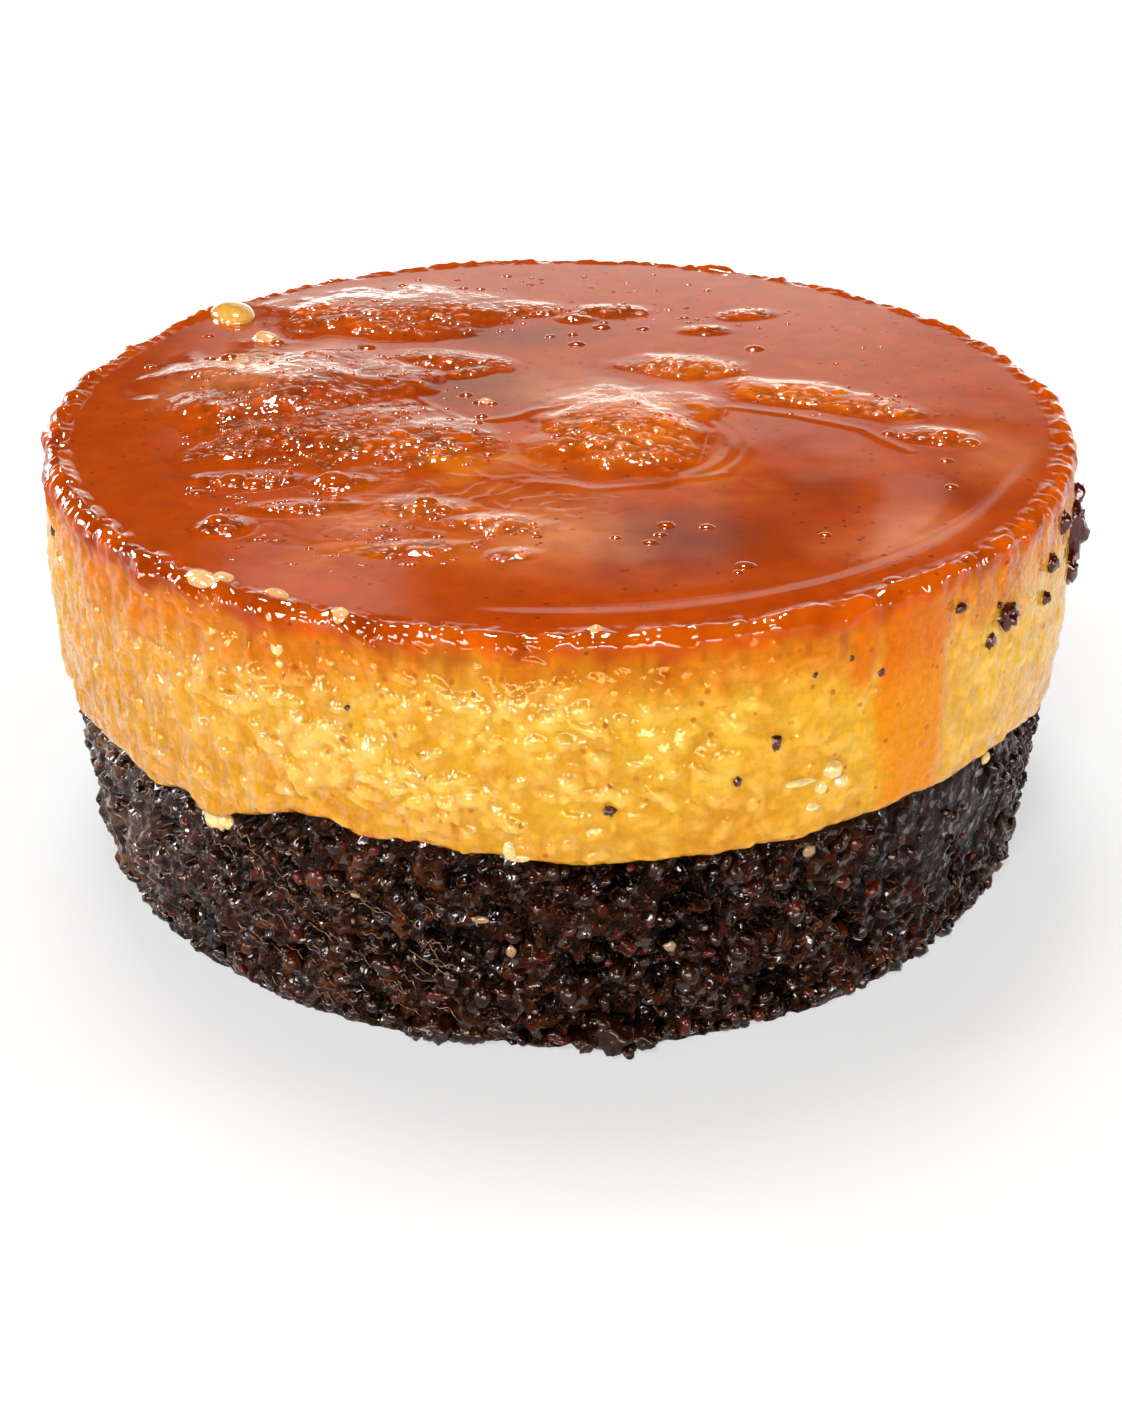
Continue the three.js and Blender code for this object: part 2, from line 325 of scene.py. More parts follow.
def crag_field(x, y):
    """How far each point is inside a crag, from 0 to 1, the height of the crags, how orange they are, and
    how far each point is on a crag's front slope."""
    at = flat_points(x, y)
    bend = 0.22 * noise(at, 9, 1)
    ragged = 0.24 * noise(at, 4.0, 2) + 0.10 * noise(at, 1.9, 11)
    height = np.zeros(len(x))
    inside = np.zeros(len(x))
    orange = np.zeros(len(x))
    front = np.zeros(len(x))
    for *shape, top, lean, redness in CRAGS:
        deep = 1.12 - reach(x, y, shape) + bend
        back = np.clip((y - shape[1]) / shape[3], -1, 1)
        here = top * (1 + lean * back) * smooth(deep + 0.2 * ragged, -0.1, 1.0)
        front = np.where(here > height, 1 - smooth(back, 0.6 * lean - 0.35, 0.6 * lean + 0.3), front)
        height = np.maximum(height, here)
        inside = np.maximum(inside, smooth(deep + ragged, 0.02, 0.5))
        orange = np.maximum(orange, redness * smooth(deep + ragged, -0.1, 0.6))
    return inside, height, orange, front


POOLS = [  # deep syrup: centre x and y, half sizes, tilt, depth
    (-12, 9, 17, 13, -20, 2.8), (-7, 33, 15, 8, 8, 2.6), (17, -47, 17, 13, 0, 3.2),
    (34, -14, 13, 10, -20, 0.7), (-60, 20, 9, 9, 0, 0.8), (36, -30, 9, 8, -10, 1.9),
    (57, -34, 7, 9, 20, 1.2),
]


def pool_depth(x, y):
    at = flat_points(x, y)
    depth = 0.75 + 0.35 * noise(at, 16, 3) + 0.2 * noise(at, 6, 4)
    for *shape, most in POOLS:
        depth = depth + most * bell(reach(x, y, shape), 0.8)
    return np.maximum(depth, 0.15)


def top_surface(x, y):
    """Heights of the top above the syrup's level, the depth of syrup there, and the crags' shares: how far
    inside one, how high on a knob, how orange and how far on a front slope."""
    inside, height, orange, front = crag_field(x, y)
    at = flat_points(x, y)
    warp_x, warp_y = 0.5 * noise(at, 3.4, 5), 0.5 * noise(at, 3.4, 15)
    knob = np.maximum(heads(x + warp_x, y + warp_y, 2.5, 6), 0.75 * heads(x - warp_y, y + warp_x, 1.7, 7))
    strength = (0.42 + 0.58 * front) * (0.95 + 0.1 * orange)
    rough = strength * (0.46 * knob + 0.24 * layered(at, 6.5, 2, 8))
    film = height * 0.95 + 0.08 * noise(at, 7, 9) * smooth(inside, 0, 0.5)
    solid = mix(-pool_depth(x, y), film - 0.14, smooth(inside, 0.0, 0.6)) + inside * rough
    level = film + 0.04 * noise(at, 24, 10) + 0.012 * noise(at, 8, 12) + rings(x, y) + flow_lines(x, y)
    surface = smooth_max(solid, level, 0.28)
    depth = np.maximum(surface - solid, 0)
    return surface, depth, inside, knob * inside * (0.4 + 0.6 * front), orange, front


EDGE_LINES = [  # where syrup pools meet: height, half width, and points on the line
    (0.12, 0.7, [(-27, 19), (-23.5, 10), (-22, 3), (-14, -6), (-6, -3), (0, -1)]),
    (0.08, 0.7, [(26, 0), (35, -3), (45, -9), (50, -17)]),
    (0.07, 0.8, [(-4, -29), (4, -31), (14, -30), (23, -26)]),
]
WRINKLES = (-14, -40, 20, 13, 0)  # centre x and y, half sizes, tilt


def line_distance(x, y, line):
    """Distance from a line of points."""
    far = np.full(len(x), 99.0)
    for (ax, ay), (bx, by) in zip(line, line[1:]):
        run, rise = bx - ax, by - ay
        along = unit(((x - ax) * run + (y - ay) * rise) / (run**2 + rise**2))
        far = np.minimum(far, np.hypot(x - ax - run * along, y - ay - rise * along))
    return far


def flow_lines(x, y):
    """Low ridges where pools meet, and wrinkles of flowing syrup at the front left and by the crags."""
    at = flat_points(x, y)
    wander = noise(at, 8, 13)
    edges = [top * bell(line_distance(x + wander, y - wander, line), wide) for top, wide, line in EDGE_LINES]
    place = bell(reach(x, y, WRINKLES), 1)
    wrinkles = sum(bell(noise(at / [1.4, 1, 1], size, seed), 0.09) for size, seed in ((7, 14), (4.5, 16)))
    return sum(edges) + 0.05 * place * wrinkles


AMBERS = [  # where the custard shows golden through the syrup: centre x and y, half sizes, tilt
    (-15, -24, 12, 9, -20), (-7, -42, 12, 8, -10), (8, -20, 12, 6, 0), (24, -30, 9, 6, 0),
    (-22, -52, 16, 5, 4),
]
AMBER = np.array((0.78, 0.180, 0.005))
PAINTED_SHEENS = [  # painted sheen, pale patches where the syrup reflects light: centre x and y, half sizes, tilt, strength
    (0, -46, 9, 9, 0, 0.75), (46, -46, 10, 6, 30, 0.5), (62, -20, 6, 9, 0, 0.4), (0, 8, 9, 8, 0, 0.5),
    (-27, -42, 7, 4, 0, 0.45), (-48, 10, 9, 8, 10, 2.6),
]
SHEEN_TONE = np.array((0.85, 0.30, 0.12))


def amber_share(x, y):
    at = flat_points(x, y)
    streaks = smooth(layered(at / [1.5, 1, 1], 6, 3, 29), -0.35, 0.45)
    return streaks * unit(sum(bell(reach(x, y, shape), 1) for shape in AMBERS))


def sheen_share(x, y):
    drift = 1 + 0.35 * noise(flat_points(x, y), 7, 91)
    return sum(most * bell(reach(x, y, shape) * drift, 1) for *shape, most in PAINTED_SHEENS)


MOUND = (8, -14, 14, 12.5, -8)  # the middle mound: centre x and y, half sizes, tilt


def rings(x, y):
    """Low ridges of syrup round the mound's right side."""
    far = reach(x, y, MOUND)
    right = smooth(x - 0.5 * (y + 14), 13, 20) * smooth(y, -34, -24)
    return right * (0.07 * bell(far - 1.2, 0.07) + 0.035 * bell(far - 1.38, 0.05))


SYRUP_DEPTHS = [0.0, 0.3, 0.8, 1.6, 2.6, 4.5]
SYRUP_TONES = np.array([
    (0.440, 0.046, 0.0015), (0.560, 0.076, 0.0018), (0.560, 0.068, 0.0012), (0.465, 0.052, 0.0008),
    (0.360, 0.041, 0.0008), (0.240, 0.028, 0.0008),
])
CRAG_ORANGE = np.array((0.86, 0.165, 0.006))


def syrup_tone(depth, orange):
    tone = np.stack([np.interp(depth, SYRUP_DEPTHS, SYRUP_TONES[:, n]) for n in range(3)], 1)
    return tint(tone, CRAG_ORANGE, orange * unit(1 - depth / 1.5))


TEETH = 132  # round the rim
TOOTHED = [(-80, 46, 0.85), (170, 60, 0.30), (95, 30, 0.15)]  # strong teeth: azimuth, half width, most


def teeth(azimuth):
    """Uneven rounded teeth round the rim, from 0 to 1."""
    near, value = cells(azimuth / 360 * TEETH, np.full(len(azimuth), 0.5), 1.0, 24, TEETH)
    return unit(1 - (1.35 * near) ** 2) * (0.35 + 0.65 * value)


def rim_envelope(azimuth):
    """How strong the rim's teeth are: most at the left, little at the front and right."""
    return 0.15 + sum(most * near_turn(azimuth, at, wide) for at, wide, most in TOOTHED)


def rim_relief(azimuth, points):
    """How far the rim's surface stands out along its normal."""
    ripple = 0.20 * noise(points, 1.6, 22) + 0.22 * noise(points, 3.2, 23) + 0.15 * noise(points, 9, 25)
    wander = azimuth + 1.8 * noise(points, 6, 26)
    return rim_envelope(azimuth) * (1.15 * teeth(wander) + 0.45 * teeth(1.7 * wander) - 0.5) + ripple


def top_disc():
    """Points of the top, their tones, and how far each is on a crag, most on its front slope."""
    x, y = disc_points(DISC_RINGS, DISC_RADIUS).T
    r = np.hypot(x, y)
    azimuth = azimuth_of(x, y)
    surface, depth, inside, knob, orange, front = top_surface(x, y)
    inward = smooth(RIM_RADIUS - r, 1.2, 8.0)
    height = HEIGHT + inward * surface + ribbon(azimuth, r)
    height += smooth(r, 73.2, DISC_RADIUS) * rim_relief(azimuth, flat_points(x, y, HEIGHT))
    tone = syrup_tone(depth * inward + 0.9 * (1 - inward), orange * inward)
    tone = tint(tone, AMBER, 0.75 * amber_share(x, y) * inward * unit(1.3 - 0.3 * depth))
    # Painted sheen: pale patches where the syrup reflects light
    tone = tint(tone, SHEEN_TONE, inward * np.clip(sheen_share(x, y) * (1 - 0.7 * inside), 0, 0.9))
    # Painted light and shade: crag knob heads lighter, the hollows between them darker
    tone = tone * (1 + inside * inward * (0.8 * knob - 0.18))[:, None]
    cloud = layered(flat_points(x, y), 15, 3, 27)
    tone = tone * (1 + 0.20 * cloud[:, None] * [0.8, 1.5, 1.5])
    return np.stack([x, y, height], 1), tone, inside * inward * (0.35 + 0.65 * front)


def side_rows():
    """Points, tones and wetness of the side, from under the disc's edge down to the layer line."""
    rim, rim_normal = evenly(RIM_SIDE, RIM_ROWS)
    wall, wall_normal = evenly(CUSTARD_SIDE, CUSTARD_ROWS)
    az, radius, z = rows_round(np.concatenate([rim[::-1][1:], wall[::-1][1:]]), SECTORS)
    normal = np.concatenate([rim_normal[::-1][1:], wall_normal[::-1][1:]])
    share = unit((z - CAKE_HEIGHT - GAP) / (JOINT_HEIGHT - CAKE_HEIGHT - GAP))
    z = np.where(z < JOINT_HEIGHT, mix(layer_line(az) + GAP + edge_wave(az), JOINT_HEIGHT, share), z)
    base = on_wall(az, radius, z)
    relief, dripped, lump, small = side_relief(az, z, share, base)
    tones, wet = side_tone(az, z, share, base, dripped, lump, small)
    side = base + on_wall(az, *np.repeat(normal, SECTORS, 0).T) * relief[:, None]
    edge_wet = 1 - smooth(HEIGHT - side[:, 2], 0.2, 1.6)
    for at, wide, less in DULL_RIM:
        edge_wet = edge_wet * (1 - less * near_turn(az, at, wide))
    return side, tones, np.maximum(wet, edge_wet)


def make_top_and_custard():
    """The caramel and the custard, whose sides are one surface that is cut at the joint."""
    disc, disc_tones, disc_crag = top_disc()
    side, side_tones, side_wet = side_rows()
    points = np.concatenate([disc, side])
    band = grid_triangles(RIM_ROWS + CUSTARD_ROWS, SECTORS, len(disc) - SECTORS)[:, ::-1]
    triangles = np.concatenate([disc_triangles(DISC_RINGS), band])
    normals = vertex_normals(points, triangles)

    # Two more points, in the middle of the joint and of the custard's underside, close the solids
    points = np.concatenate([points, [[0, 0, JOINT_HEIGHT], [0, 0, CAKE_HEIGHT + GAP]]])
    normals = np.concatenate([normals, [[0, 0, -1.0]] * 2])
    tones = np.concatenate([disc_tones, side_tones, [[0.5, 0.2, 0.02]] * 2])
    crag = np.concatenate([disc_crag, np.zeros(len(side) + 2)])
    wet = np.concatenate([np.ones(len(disc)), side_wet, [0, 0]])
    middle, under = len(points) - 2, len(points) - 1
    joint = len(disc) + (RIM_ROWS - 1) * SECTORS
    joint_ring = joint + np.arange(SECTORS)
    bottom_ring = middle - SECTORS + np.arange(SECTORS)
    upper = triangles[triangles.max(1) < joint + SECTORS]
    lower = triangles[triangles.min(1) >= joint]
    caramel = np.concatenate([upper, cap(joint_ring, middle, False)])
    custard = np.concatenate([lower, cap(joint_ring, middle, True), cap(bottom_ring, under, False)])
    made = []
    for name, chosen in (("caramel_top", caramel), ("custard_body", custard)):
        used, renumbered = np.unique(chosen, return_inverse=True)
        faces = renumbered.reshape(-1, 3)
        shares = {"crag": crag[used], "wet": wet[used]}
        made.append(make_object(name, points[used], faces, normals[used], tones[used], shares))
    return made


def edge_wave(azimuth):
    """Small waves of the custard's lower edge."""
    at = on_wall(azimuth, 76.0, np.zeros(len(azimuth)))
    return 0.35 * noise(at, 5.5, 18) + 0.22 * noise(at, 2.2, 19)


RIBBON_RADIUS = 70.2


def ribbon(azimuth, r):
    """A low bead of syrup just inside the rim, at the front right."""
    length = smooth(turn_between(azimuth, 28), -42, -30) * smooth(-turn_between(azimuth, 28), -48, -36)
    return length * (0.10 * bell(r - RIBBON_RADIUS, 1.4) - 0.03 * bell(r - RIBBON_RADIUS + 3.0, 1.4))


# ---------------------------------------------------------------- the custard's side
CUSTARD_TONES = {
    "deep": (0.78, 0.300, 0.003),
    "plain": (0.88, 0.450, 0.018),
    "pale": (0.93, 0.62, 0.15),
    "gold": (0.66, 0.245, 0.0015),
    "orange": (0.70, 0.17, 0.002),
    "amber": (0.74, 0.155, 0.0004),
    "honey": (0.84, 0.265, 0.0008),
    "glaze": (0.86, 0.42, 0.09),
}
DULL_RIM = [(-88, 32, 0.8), (66, 26, 0.7)]  # less gloss on the rim's side: azimuth, half width, share
RIM_TONES = {"light": (0.70, 0.105, 0.0012), "dark": (0.24, 0.018, 0.0004)}
DRIPS = [  # syrup on the side: azimuth, half width in degrees, lowest height, thickness
    (36.5, 3.6, 30, 0.6), (33.2, 1.5, 39, 0.35), (29, 1.2, 50, 0.35), (96, 3, 40, 0.7), (158, 2.6, 37, 0.7),
    (-124, 3.2, 42, 0.6),
]


def rim_tone(azimuth, points):
    """Red of the rim: darker in patches, and darker in the dips between the teeth, which is painted shade.
    """
    light, dark = (np.array(RIM_TONES[key]) for key in ("light", "dark"))
    patch = 0.5 + 0.6 * layered(points, 7, 2, 28) - 0.5 * (teeth(azimuth) - 0.4) * rim_envelope(azimuth)
    patch = patch + 0.45 * near_turn(azimuth, -70, 45) - 0.35
    return mix(light, dark, np.clip(patch, 0, 0.85)[:, None])


def drip_share(az, z, base):
    wander = 1.2 * noise(base / [1, 1, 3], 7, 44) + 0.5 * noise(base / [1, 1, 1.6], 2.5, 42)
    amount = np.zeros(len(az))
    thick = np.zeros(len(az))
    for at, width, bottom, height in DRIPS:
        across = np.abs(turn_between(az, at) + wander) / width
        share = smooth(z, bottom, bottom + 5) * smooth(1.5 - across, 0, 0.85)
        amount = np.maximum(amount, share)
        thick = np.maximum(thick, height * share)
    return amount, thick


SIDE_ZONES = [(-72, 34), (52, 22), (-16, 30)]  # left, right and front: azimuth and half width


def side_zones(az):
    return (near_turn(az, at, wide) for at, wide in SIDE_ZONES)


def middle_of(share):
    """1 in the custard's middle and less near its edges."""
    return smooth(share, 0.03, 0.2) * (1 - 0.7 * smooth(share, 0.78, 0.95))


def side_relief(az, z, share, base):
    """Relief of the side, how far each point is under a drip, and curds of two sizes."""
    left, right, front = side_zones(az)
    wander = noise(base, 5, 48)
    turn = (az + 1.2 * wander) / 360
    lump = side_heads(turn, z + 0.8 * wander, 150, 2.7, 32, rare=0.25)
    small = side_heads(turn + wander / 600, z - 0.5 * wander, 300, 1.9, 33, tight=1.45)
    upright = side_heads(turn, z + 1.5 * wander, 210, 4.6, 31, rare=0.15)
    rivulet = side_heads((az + 0.8 * wander) / 360, z - 1.2 * wander, 190, 6.0, 35, 1.7, 0.1, 0.8)
    stretched = base / [1, 1, 4.0]
    streak = 0.6 * noise(stretched, 2.6, 34) + 0.9 * noise(stretched, 1.3, 45)
    ridges = (0.05 + 0.30 * left + 0.12 * right) * upright
    ridges += (0.04 + 0.40 * left + 0.10 * right) * rivulet
    ridges += (0.03 + 0.36 * left + 0.07 * right) * streak
    relief = 0.34 * noise(base, 12, 36) + 0.22 * noise(base, 5, 37) + ridges * smooth(share, 0, 0.1)
    relief += (0.22 + 0.75 * front * middle_of(share)) * lump + (0.20 + 0.30 * front) * small
    dripped, thick = drip_share(az, z, base)
    relief = relief * (1 - 0.75 * dripped) + thick
    lip = 0.35 * bell(share - 0.06, 0.05)
    relief += smooth(z, 59.6, 62.4) * rim_relief(az, base) + lip
    return relief * smooth(share, 0, 0.04), dripped, lump, small


def side_tone(az, z, share, base, dripped, lump, small):
    """Tone and wetness of the side: the custard's own tones with painted light and shade on the curds, a
    painted sheen at the far left and painted shade at the bottom, then syrup that has seeped in, then the
    rim.
    """
    _, right, front = side_zones(az)
    tones = {key: np.array(value) for key, value in CUSTARD_TONES.items()}
    cloud = layered(base, 7, 3, 38) + 0.30 * right - 0.20 * near_turn(az, -30, 12)
    colour = tint(tones["deep"], tones["plain"], 0.35 + 0.65 * smooth(cloud, -0.45, 0.35))
    pale = 1.1 * lump * (0.15 + front) * middle_of(share) + 0.6 * small * (0.3 + front) + 0.3 * right
    # The paler band at the far left (azimuth -88) is a painted sheen
    pale = pale + 0.30 * near_turn(az, -88, 18) + 0.30 * noise(base, 2.6, 39) - 0.12
    colour = tint(colour, tones["pale"], 0.75 * unit(pale))
    # Painted shade: darker towards the custard's bottom, to offset the light from the glowing floor
    colour = colour * (1 - (1 - smooth(share, 0, 0.4))[:, None] * [0.09, 0.17, 0.17])
    colour = tint(colour, tones["gold"], 0.75 * near_turn(az, -54, 24))

    tooth = rim_envelope(az) * teeth(az)
    hang = 2.0 * noise(base / [1, 1, 5], 1.9, 40) + 1.7 * noise(base / [1, 1, 2], 8, 41)
    low = 52.6 - 2.0 * smooth(np.abs(turn_between(az, -2)), 8, 30) + 6.5 * near_turn(az, -76, 14)
    orange = smooth(z + hang + 1.5 * tooth, low, low + 8.5)
    colour = tint(colour, tones["orange"], 0.9 * orange)
    swirl = smooth(noise(base / [1, 1, 2.2] + 0.8 * noise(base, 4, 46)[:, None], 4.5, 47), 0.15, 0.5)
    glaze = swirl * near_turn(az, 50, 12) * smooth(z, 46, 53) * (1 - smooth(z, 58, 61))
    colour = tint(colour, tones["glaze"], 0.8 * glaze)
    fingers = smooth(noise(base / [1, 1, 6], 1.5, 68), 0.1, 0.6) * smooth(z + hang, 56, 61)
    colour = tint(colour, np.array(RIM_TONES["dark"]), 0.45 * fingers)
    # Painted light and shade: curd heads lighter, the custard between them darker
    colour = colour * (1 + 0.26 * (np.maximum(lump, small) - 0.45))[:, None]

    lighter = unit(1.1 - smooth(z, 48, 57) + 0.3 * noise(base / [1, 1, 2.5], 3.2, 49))
    colour = tint(colour, tint(tones["amber"], tones["honey"], lighter), dripped)
    red = smooth(z + 0.6 * hang + 2.2 * tooth, 60.3, 62.8)
    colour = tint(colour, rim_tone(az, base), red)
    line = smooth(turn_between(az, -20), -14, -9) * smooth(-turn_between(az, -20), -14, -9)
    colour = tint(colour, tones["amber"], 0.8 * bell(share - 0.02, 0.022) * line)
    wet = 0.20 + 0.26 * near_turn(az, -48, 24) + 0.22 * front - 0.10 * right
    return colour, wet * (1 - 0.9 * np.maximum(red, orange)) * (1 - 0.8 * dripped)


# ---------------------------------------------------------------- the chocolate cake
CAKE_TONES = {
    "dark": (0.0012, 0.0004, 0.0002),
    "brown": (0.028, 0.0066, 0.0016),
    "red": (0.085, 0.0105, 0.0016),
    "skin": (0.012, 0.0056, 0.0046),
    "fibre": (0.16, 0.060, 0.014),
    "soaked": (0.16, 0.060, 0.020),
}
HOLES = [  # azimuth, height, half sizes across and up, depth
    (-12, 17, 1.9, 1.3, 2.6), (-15, 15.6, 1.2, 0.9, 1.8), (-5, 18, 0.9, 1, 2), (3, 14, 2.6, 1.6, 3),
    (5.6, 13.2, 1.2, 1, 2), (31, 14, 1.6, 1, 2.2), (22, 20, 1, 0.8, 1.6), (-33, 19, 1.1, 1.2, 1.8),
    (-52, 13, 1, 1.4, 1.8),
]


def cake_skin(az, share, base):
    """Where the side is smooth skin, and not torn crumb."""
    height = share + 0.3 * noise(base, 6, 50)
    right = near_turn(az, 47, 15) * smooth(height, 0.25, 0.6)
    return np.maximum(right, 0.7 * near_turn(az, -170, 30) * smooth(height, 0.3, 0.7))


def cake_holes(az, z, base):
    """How far each point is in a hole, and how deep it lies there."""
    ragged = 0.3 * noise(base, 1.8, 56)
    hole, deep = np.zeros(len(az)), np.zeros(len(az))
    for at, height, half_wide, half_high, depth in HOLES:
        across = np.radians(turn_between(az, at)) * CAKE_RADIUS / half_wide
        here = smooth(1.3 - np.hypot(across, (z - height) / half_high) - ragged, 0, 0.5)
        hole = np.maximum(hole, here)
        deep += depth * here
    return hole, deep


def cake_relief(az, z, share, base, open_crumb, grain):
    """Pits and knobs of torn crumb, with larger lumps at the left, and how far each point is in a hole."""
    wander = noise(base, 4, 60)
    turn = (az + 1.2 * wander) / 360
    big_pit = side_heads(turn, z + 0.9 * noise(base, 4, 61), 130, 3.4, 51, 1.45, 0.45)
    small_pit = side_heads(turn, z - 0.9 * wander, 250, 1.8, 52, rare=0.35)
    mass = 1 - np.abs(noise(base + 0.8 * wander[:, None], 3.6, 57)) * 1.6
    fine = open_crumb * (1 - 0.75 * near_turn(az, -62, 22))
    lumps = side_heads(turn, z + 1.5 * wander, 210, 4.2, 63) * near_turn(az, -60, 24)
    relief = 0.55 * noise(base, 10, 55) + open_crumb * (0.85 * mass - 2.1 * big_pit - 0.15)
    relief += fine * (0.38 * grain - small_pit) + 1.35 * lumps
    hole, deep = cake_holes(az, z, base)
    relief = (relief - deep) * (0.45 + 0.55 * smooth(share, 0, 0.05))
    return mix(relief, np.minimum(relief, -0.2), smooth(share, 0.94, 1.0)), hole


def cake_fibre(az, z, share, base):
    """Slanted threads of dried syrup at the front left."""
    around = np.radians(az) * CAKE_RADIUS
    slanted = np.stack([(around - 0.4 * z) / 7, (z + 0.4 * around) / 1.5, around / 40], 1)
    fibre = bell(noise(slanted, 1.0, 64) + 0.3 * noise(base, 2.5, 65), 0.10)
    fibre = fibre * smooth(noise(base, 4, 66), -0.3, 0.3) * near_turn(az, -25, 17)
    return fibre * (1 - smooth(share, 0.85, 0.95))


def make_cake():
    profile, _ = evenly(CAKE_SIDE, CAKE_ROWS)
    az, radius, z = rows_round(profile, CAKE_SECTORS)
    share = z / CAKE_HEIGHT
    z = share * (layer_line(az) + edge_wave(az))
    base = on_wall(az, radius, z)
    skin = cake_skin(az, share, base)
    open_crumb = 1 - 0.85 * skin
    grain = noise(base, 1.15, 53)
    relief, hole = cake_relief(az, z, share, base, open_crumb, grain)
    fibre = cake_fibre(az, z, share, base)

    tones = {key: np.array(value) for key, value in CAKE_TONES.items()}
    # Painted shade and light: darker in the pits and lighter on raised crumb, from the relief, with random
    # grain
    lit = unit(smooth(relief, -0.9, 0.9) + 0.22 * noise(base, 5, 58) + 0.2 * grain)
    colour = tint(tones["dark"], tones["brown"], lit)
    ruddy = smooth(noise(base, 1.7, 59) + 0.3 * noise(base, 6, 62), 0.30, 0.65) * smooth(relief, -0.5, 0.4)
    colour = tint(colour, tones["red"], 0.55 * ruddy * open_crumb)
    colour = tint(colour, tones["skin"], 0.8 * skin)
    colour = tint(colour, tones["fibre"], 0.8 * fibre)
    # A warm brown at the left: partly syrup taken up by the crumb, partly a painted warm reflection
    soaked = near_turn(az, -62, 9) * smooth(noise(base / [1, 1, 2], 3.0, 67), -0.3, 0.5)
    colour = tint(colour, tones["soaked"], 0.8 * soaked)
    # Painted shade: the holes are darkened
    colour = colour * (1 - 0.8 * hole)[:, None]

    count = len(az)
    side = on_wall(az, radius + relief + 0.22 * fibre, z)
    points = np.concatenate([side, [[0, 0, 0], [0, 0, CAKE_HEIGHT]]])
    ring = np.arange(CAKE_SECTORS)
    caps = [cap(ring, count, False), cap(count - CAKE_SECTORS + ring, count + 1, True)]
    triangles = np.concatenate([grid_triangles(CAKE_ROWS, CAKE_SECTORS), *caps])
    colour = np.concatenate([colour, [tones["brown"]] * 2])
    shares = {"skin": np.append(skin, [0, 0]), "wet": np.append(near_turn(az, -58, 20), [0, 0])}
    return make_object("cake_crumb", points, triangles, None, colour, shares)


# ---------------------------------------------------------------- small pieces
def unit_ball(detail):
    ball = bmesh.new()
    bmesh.ops.create_icosphere(ball, subdivisions=detail, radius=1)
    points = np.array([v.co[:] for v in ball.verts])
    triangles = np.array([[v.index for v in f.verts] for f in ball.faces])
    ball.free()
    return points, triangles


def wall_frames(azimuth):
    """Across, up and out directions on the side, for each azimuth."""
    a = np.radians(azimuth)
    zero, one = np.zeros(len(a)), np.ones(len(a))
    across = np.stack([np.cos(a), np.sin(a), zero], 1)
    out = np.stack([np.sin(a), -np.cos(a), zero], 1)
    return np.stack([across, np.stack([zero, zero, one], 1), out], 2)


def joined(parts):
    """Points and triangles of several meshes as one."""
    first = np.cumsum([0] + [len(points) for points, _ in parts[:-1]])
    triangles = [faces + start for start, (_, faces) in zip(first, parts)]
    return np.concatenate([points for points, _ in parts]), np.concatenate(triangles)


def blobs(name, centres, frames, sizes, tones, rough=0.2, grain=0.8, detail=2, seed=70, lift=0.0):
    """One object made of uneven balls, each with its own axes, half sizes and colour.

    lift is how much lighter a ball's head is than its middle, and how much darker its foot: a painted
    highlight and painted shade.
    """
    ball, faces = unit_ball(detail)
    parts, colours = [], []
    for n, (centre, axes, size, tone) in enumerate(zip(centres, frames, sizes, tones)):
        moved = ball + [7.3 * n, 0, 3.1 * n]
        swell = 1 + rough * (noise(moved, grain, seed) + 0.5 * noise(moved, grain / 2.2, seed + 1))
        local = ball * swell[:, None] * size
        parts.append((local @ axes.T + centre, faces))
        # Painted light: each ball lighter towards its head and darker towards its foot, by lift
        shade = (1 + 0.25 * noise(moved, grain, seed + 2)) * (1 + lift * ball[:, 2])
        colours.append(unit(np.asarray(tone) * shade[:, None]))
    points, triangles = joined(parts)
    points[:, 2] = np.maximum(points[:, 2], 0)
    return make_object(name, points, triangles, None, np.concatenate(colours))


def radius_on(profile, z):
    p = np.array(profile)
    return np.interp(z, p[:, 1], p[:, 0])


def random_axes(draw, count):
    """Random right-handed axes."""
    first = draw.normal(size=(count, 3))
    second = np.cross(first, draw.normal(size=(count, 3)))
    first, second = (v / np.linalg.norm(v, axis=1, keepdims=True) for v in (first, second))
    return np.stack([first, second, np.cross(first, second)], 2)


def cake_lumps():
    """Torn crumb that stands out of the cake's side, with more of it at the foot."""
    draw = np.random.default_rng(11)
    count = 1150
    az = draw.uniform(-180, 180, count)
    z = draw.uniform(0.02, 0.97, count) * layer_line(az)
    foot = draw.random(count) < 0.18
    z = np.where(foot, draw.uniform(0.9, 2.6, count), z)
    smooth_skin = near_turn(az, 47, 13) * smooth(z / 31, 0.3, 0.6)
    keep = draw.random(count) > np.maximum(0.92 * smooth_skin, 0.75 * near_turn(az, -62, 20))
    az, z = az[keep], z[keep]
    size = draw.uniform(0.5, 1.5, (len(az), 3)) * draw.uniform(0.6, 1.4, (len(az), 1))
    radius = radius_on(CAKE_SIDE, z) - 0.35 + 0.4 * draw.random(len(az))
    centres = on_wall(az, radius, np.maximum(z, size.max(1) * 0.8))
    brown, red, dark = (np.array(CAKE_TONES[key]) for key in ("brown", "red", "dark"))
    pick = draw.random(len(az))[:, None]
    tones = np.where(pick < 0.14, red, np.where(pick < 0.6, 0.8 * brown, 0.5 * brown + 0.5 * dark))
    axes = random_axes(draw, len(az))
    return blobs("cake_crumb_lumps", centres, axes, size, tones, rough=0.26, grain=0.9, seed=71)


